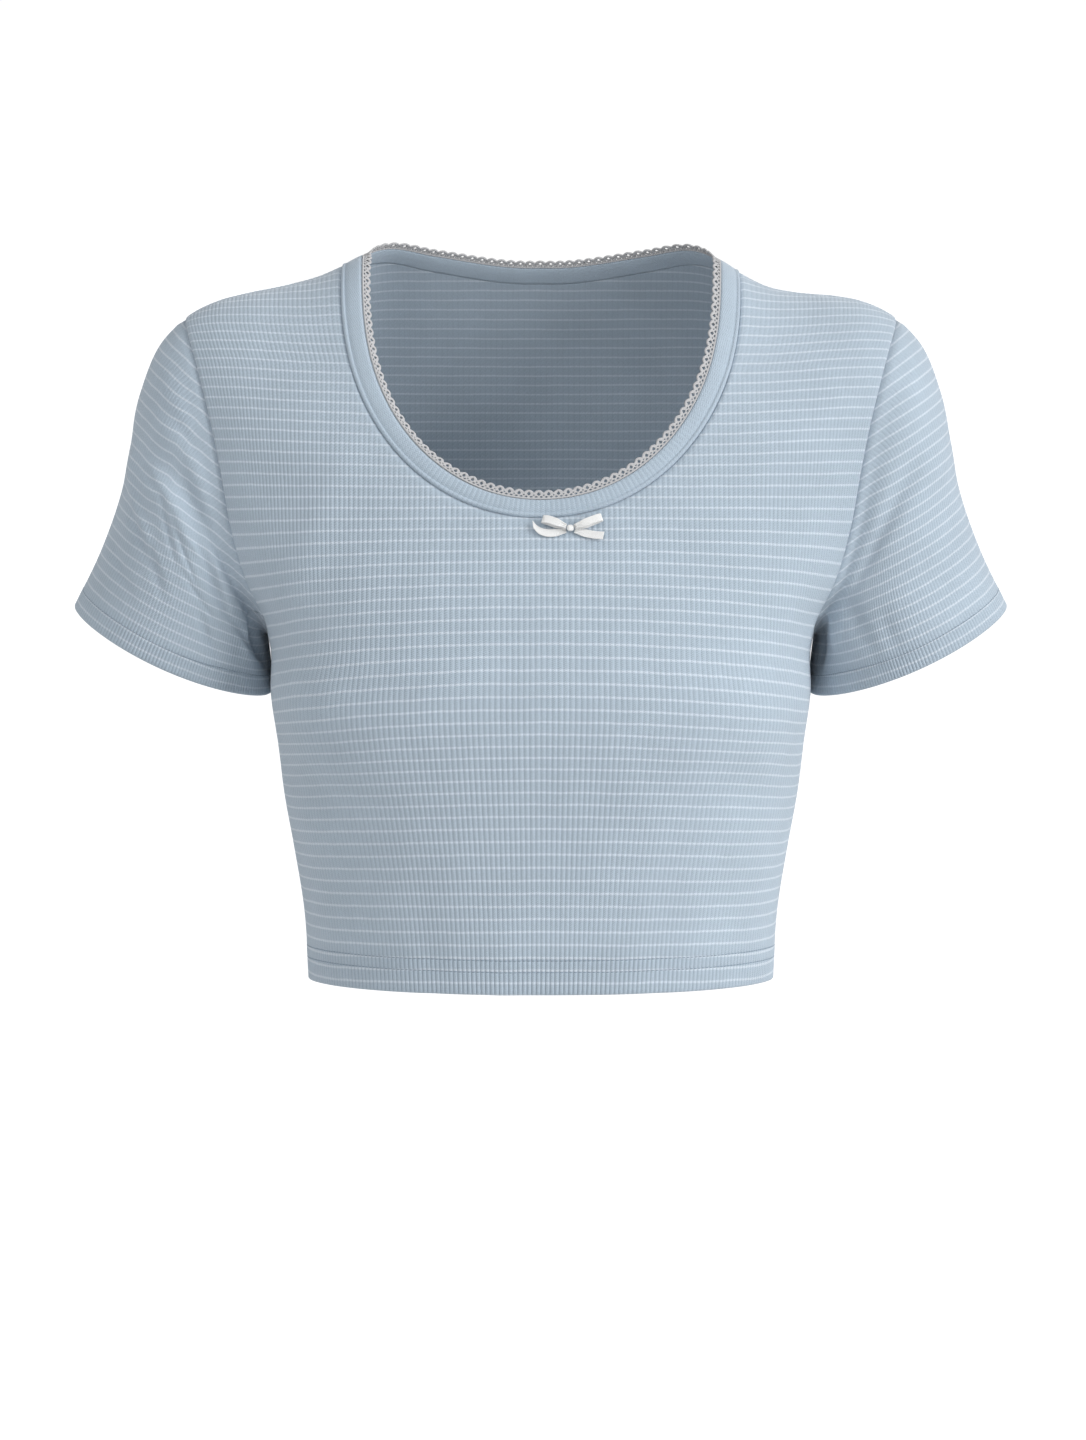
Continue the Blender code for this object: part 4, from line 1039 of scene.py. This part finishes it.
# Coverstitch of the hems

stitch = {
    "wide": 0.28, "tall": 0.2, "rise": 0.1, "lift": 0.4, "ends": (0.12, 0.88), "points": 5,
    "taper": 0.4, "sides": 6,
}


def stitchesAlong(line, normals, closed):
    # one stitch over each rib: an arch from groove to groove along a line of surface points
    count = (len(line) - (0 if closed else 1)) // len(ribPhases)
    at = np.linspace(*stitch["ends"], stitch["points"])
    place = np.interp(at, (*ribPhases, 1), range(5)) + np.arange(count)[:, None] * len(ribPhases)
    first = np.floor(place).astype(int)
    part = (place - first)[..., None]
    following = (first + 1) % len(line)
    first = first % len(line)
    out = unit(normals[first] * (1 - part) + normals[following] * part)
    height = stitch["rise"] * np.sin(at * math.pi) + stitch["tall"] * stitch["lift"]
    return line[first] * (1 - part) + line[following] * part + out * height[None, :, None], out


stitchSets = []
for made, cut in ((front, panel), (back, panel), (rightSleeve, sleeve), (leftSleeve, sleeve)):
    for line in cut["stitchLines"]:
        row = cut["hemSteps"].index(line)
        stitchSets.append(stitchesAlong(made["outer"][row], made["normals"][row], cut is sleeve))
stitchPaths, stitchOut = (np.concatenate(parts) for parts in zip(*stitchSets))
stitchPoints, stitchFaces = makeTubes(
    stitchPaths, stitchOut, stitch["wide"], stitch["tall"], stitch["taper"], stitch["sides"])
makePiece("hemStitches", None, stitchPoints, stitchFaces, threadLook)

# Ribbon bow

bow = {
    "x": 15.2, "z": -137.3, "stand": 2.8, "width": 4.1, "thick": 0.5, "pinch": 0.6,
    "gather": 1.2, "cup": 0.384, "ripple": 0.264, "rippleTurn": 9, "bend": 0.12, "steps": 49,
    "across": 13, "knot": (3.4, 2.4, 3.3), "knotPower": 3.0, "knotSides": 48,
    "wrapHeight": 0.05, "wrapTurn": 26, "mapStep": 4.0, "mapWide": 1.2, "knotMap": 0.4,
}
ribbonRuns = (
    ("bowLeftLoop", "bow_left_loop",
     ((-2.1, 0.6, 1.0), (-6.8, 2.5, 1.8), (-11.2, 4.0, 1.8), (-13.4, 4.3, 1.5), (-14.2, 4.4, 0.75),
      (-13.4, 4.2, 0.0), (-11.2, 3.6, -0.4), (-6.8, 2.0, -0.4), (-2.1, 0.4, -0.1))),
    ("bowRightLoop", "bow_right_loop",
     ((2.1, 0.5, 1.0), (7.4, 2.3, 1.9), (12.6, 4.3, 1.9), (15.2, 5.2, 1.5), (16.0, 5.4, 0.75),
      (15.2, 5.1, 0.0), (12.6, 4.0, -0.4), (7.4, 1.9, -0.4), (2.1, 0.3, -0.1))),
    ("bowLeftTail", "bow_left_tail",
     ((-2.1, -1.1, -1.5), (-7.5, -2.2, -1.3), (-12.5, -2.3, -1.1), (-16.4, -0.9, -0.8),
      (-19.2, 2.0, -0.4))),
    ("bowRightTail", "bow_right_tail",
     ((2.1, -1.1, -1.5), (7.0, -2.3, -1.4), (12.0, -3.3, -1.2), (17.0, -3.8, -1.0))),
)


def bowFrame():
    # middle of the knot, and the directions up and out of the cloth there
    form = front["form"]
    rib = np.full(3, bow["x"] / (form["girth"] / body["sideRib"]))
    y, high, low = placeOn(form, rib, bow["z"] + np.array((0, 5, -5)))[1]
    slope = high - low
    up = unit(np.array((0.0, slope, 10.0)))
    out = unit(np.array((0.0, -10.0, slope)))
    surface = wall["thick"] / 2 + bow["stand"]
    return np.array((bow["x"], y, bow["z"])) + out * surface, up, out


knotPlace, bowUp, bowOut = bowFrame()
bowRight = np.array((1.0, 0.0, 0.0))


def makeRibbon(name, solid, run):
    # a flat oval carried along a smooth path, its middle cupped, its ends gathered to the knot
    steps = np.linspace(0, len(run) - 1, bow["steps"])
    path = smoothCurve(np.arange(len(run)), run)(steps)
    path = knotPlace + path[:, :1] * bowRight + path[:, 1:2] * bowUp + path[:, 2:] * bowOut
    along = unit(np.gradient(path, axis=0))
    wide = unit(np.cross(bowOut, path[len(path) // 2] - path[0]))
    face = unit(np.cross(along, wide))[:, None]
    ends = np.minimum(steps, steps[-1] - steps) if "Loop" in name else steps
    pinch = smoothStep(0, bow["gather"], ends)[:, None]
    half = bow["width"] / 2 * (bow["pinch"] + (1 - bow["pinch"]) * pinch)
    share = np.linspace(-1, 1, bow["across"])
    cup = bow["cup"] * (share ** 2 - 0.5) + bow["ripple"] * np.cos(share * bow["rippleTurn"])
    lift = (1 - pinch) * cup + bow["bend"] * share ** 2
    flat = path[:, None] + wide * (half * share)[..., None] + face * lift[..., None]
    thin = face * (bow["thick"] / 2 * (1 - share ** 8 * 0.5))[:, None]
    walked = lengthAlong(path)[:, None] / bow["mapStep"]
    uv = np.stack(np.broadcast_arrays(share * bow["mapWide"], walked), axis=-1)
    cells = np.ones((len(path) - 1, bow["across"] - 1), bool)
    makeShell(name, solid, flat + thin, flat - thin, np.broadcast_to(face, flat.shape), cells,
              satinLook, uv)


for name, solid, run in ribbonRuns:
    makeRibbon(name, solid, run)


def makeKnot():
    # rounded box |x|^n + |y|^n + |z|^n = 1 with three soft wraps running over it
    sides = bow["knotSides"]
    turn = np.linspace(0, 2 * math.pi, sides, endpoint=False)
    tilt = np.linspace(-math.pi / 2, math.pi / 2, sides // 2 + 1)[1:-1, None]
    c = np.cos(tilt)
    ball = np.stack(np.broadcast_arrays(c * np.cos(turn), c * np.sin(turn), np.sin(tilt)), axis=-1)
    power = bow["knotPower"]
    size = np.sum(np.abs(ball) ** power, axis=-1, keepdims=True) ** (-1 / power)
    shape = ball * size / 2
    wraps = 1 + bow["wrapHeight"] * np.cos(shape[..., :1] * bow["wrapTurn"])
    shape = shape * np.array(bow["knot"]) * wraps
    poles = np.array(((0, 0, -0.5), (0, 0, 0.5))) * np.array(bow["knot"])
    local = np.concatenate((shape.reshape(-1, 3), poles))
    points = knotPlace + local[:, :1] * bowRight + local[:, 1:2] * bowOut + local[:, 2:] * bowUp
    index = np.arange(shape[..., 0].size).reshape(-1, sides)
    turned = np.roll(index, -1, axis=1)
    low = np.stack((turned[0], index[0], np.full(sides, len(local) - 2)), axis=-1)
    high = np.stack((index[-1], turned[-1], np.full(sides, len(local) - 1)), axis=-1)
    faces = [quads[:, ::-1] for quads in (gridQuads(index).reshape(-1, 4), low, high)]
    makePiece("bowKnot", "bow_knot", points, faces, satinLook, local[:, ::2] * bow["knotMap"])


makeKnot()

# Studio

studio = {
    "floor": -2.0, "radius": 60.0, "sides": 96, "paper": 0.8, "floorGlow": 0.40, "sky": 0.51,
    "seenSky": 1.02,
}
lightNames = ("name", "strength", "angle", "side", "height")
lights = (
    ("keyLight", 2.3, 34, 63, 18), ("fillLight", 0.6, 45, -24, 34), ("backLight", 0.8, 50, 172, 8),
)


def makeFloor():
    # plain round floor, far wider than the view
    sides = studio["sides"]
    turn = np.linspace(0, 2 * math.pi, sides, endpoint=False)
    points = np.stack((np.cos(turn), np.sin(turn), np.zeros(sides)), axis=-1) * studio["radius"]
    points[:, 2] = studio["floor"]
    mesh = bpy.data.meshes.new("studioFloor")
    mesh.from_pydata(points.tolist(), [], [list(range(sides))])
    floor = addObject("studioFloor", mesh)
    paper = bpy.data.materials.new("studioPaper")
    paper.use_nodes = True
    tree = paper.node_tree
    seen = addNode(tree, "ShaderNodeLightPath").outputs["Is Camera Ray"]
    setInputs(tree, tree.nodes["Principled BSDF"], {
        "Base Color": (studio["paper"],) * 3, "Roughness": 0.9, "Specular IOR Level": 0.0,
        "Emission Color": (1, 1, 1),
        "Emission Strength": calc(tree, "MULTIPLY", seen, studio["floorGlow"])})
    mesh.materials.append(paper)


def makeLights():
    # a soft key light from the right, a weak fill from the left and one from behind, and a white
    # sky seen by the camera
    for row in lights:
        given = dict(zip(lightNames, row))
        lamp = bpy.data.lights.new(given["name"], "SUN")
        lamp.energy = given["strength"]
        lamp.angle = math.radians(given["angle"])
        turn = (math.radians(90 - given["height"]), 0, math.radians(given["side"]))
        addObject(given["name"], lamp).rotation_euler = turn
    world = bpy.data.worlds.new("studio")
    world.use_nodes = True
    tree = world.node_tree
    seen = addNode(tree, "ShaderNodeLightPath").outputs["Is Camera Ray"]
    extra = studio["seenSky"] - studio["sky"]
    setInputs(tree, tree.nodes["Background"], {
        "Color": (1, 1, 1), "Strength": calc(tree, "MULTIPLY_ADD", seen, extra, studio["sky"])})
    bpy.context.scene.world = world


makeFloor()
makeLights()
print("studio made")
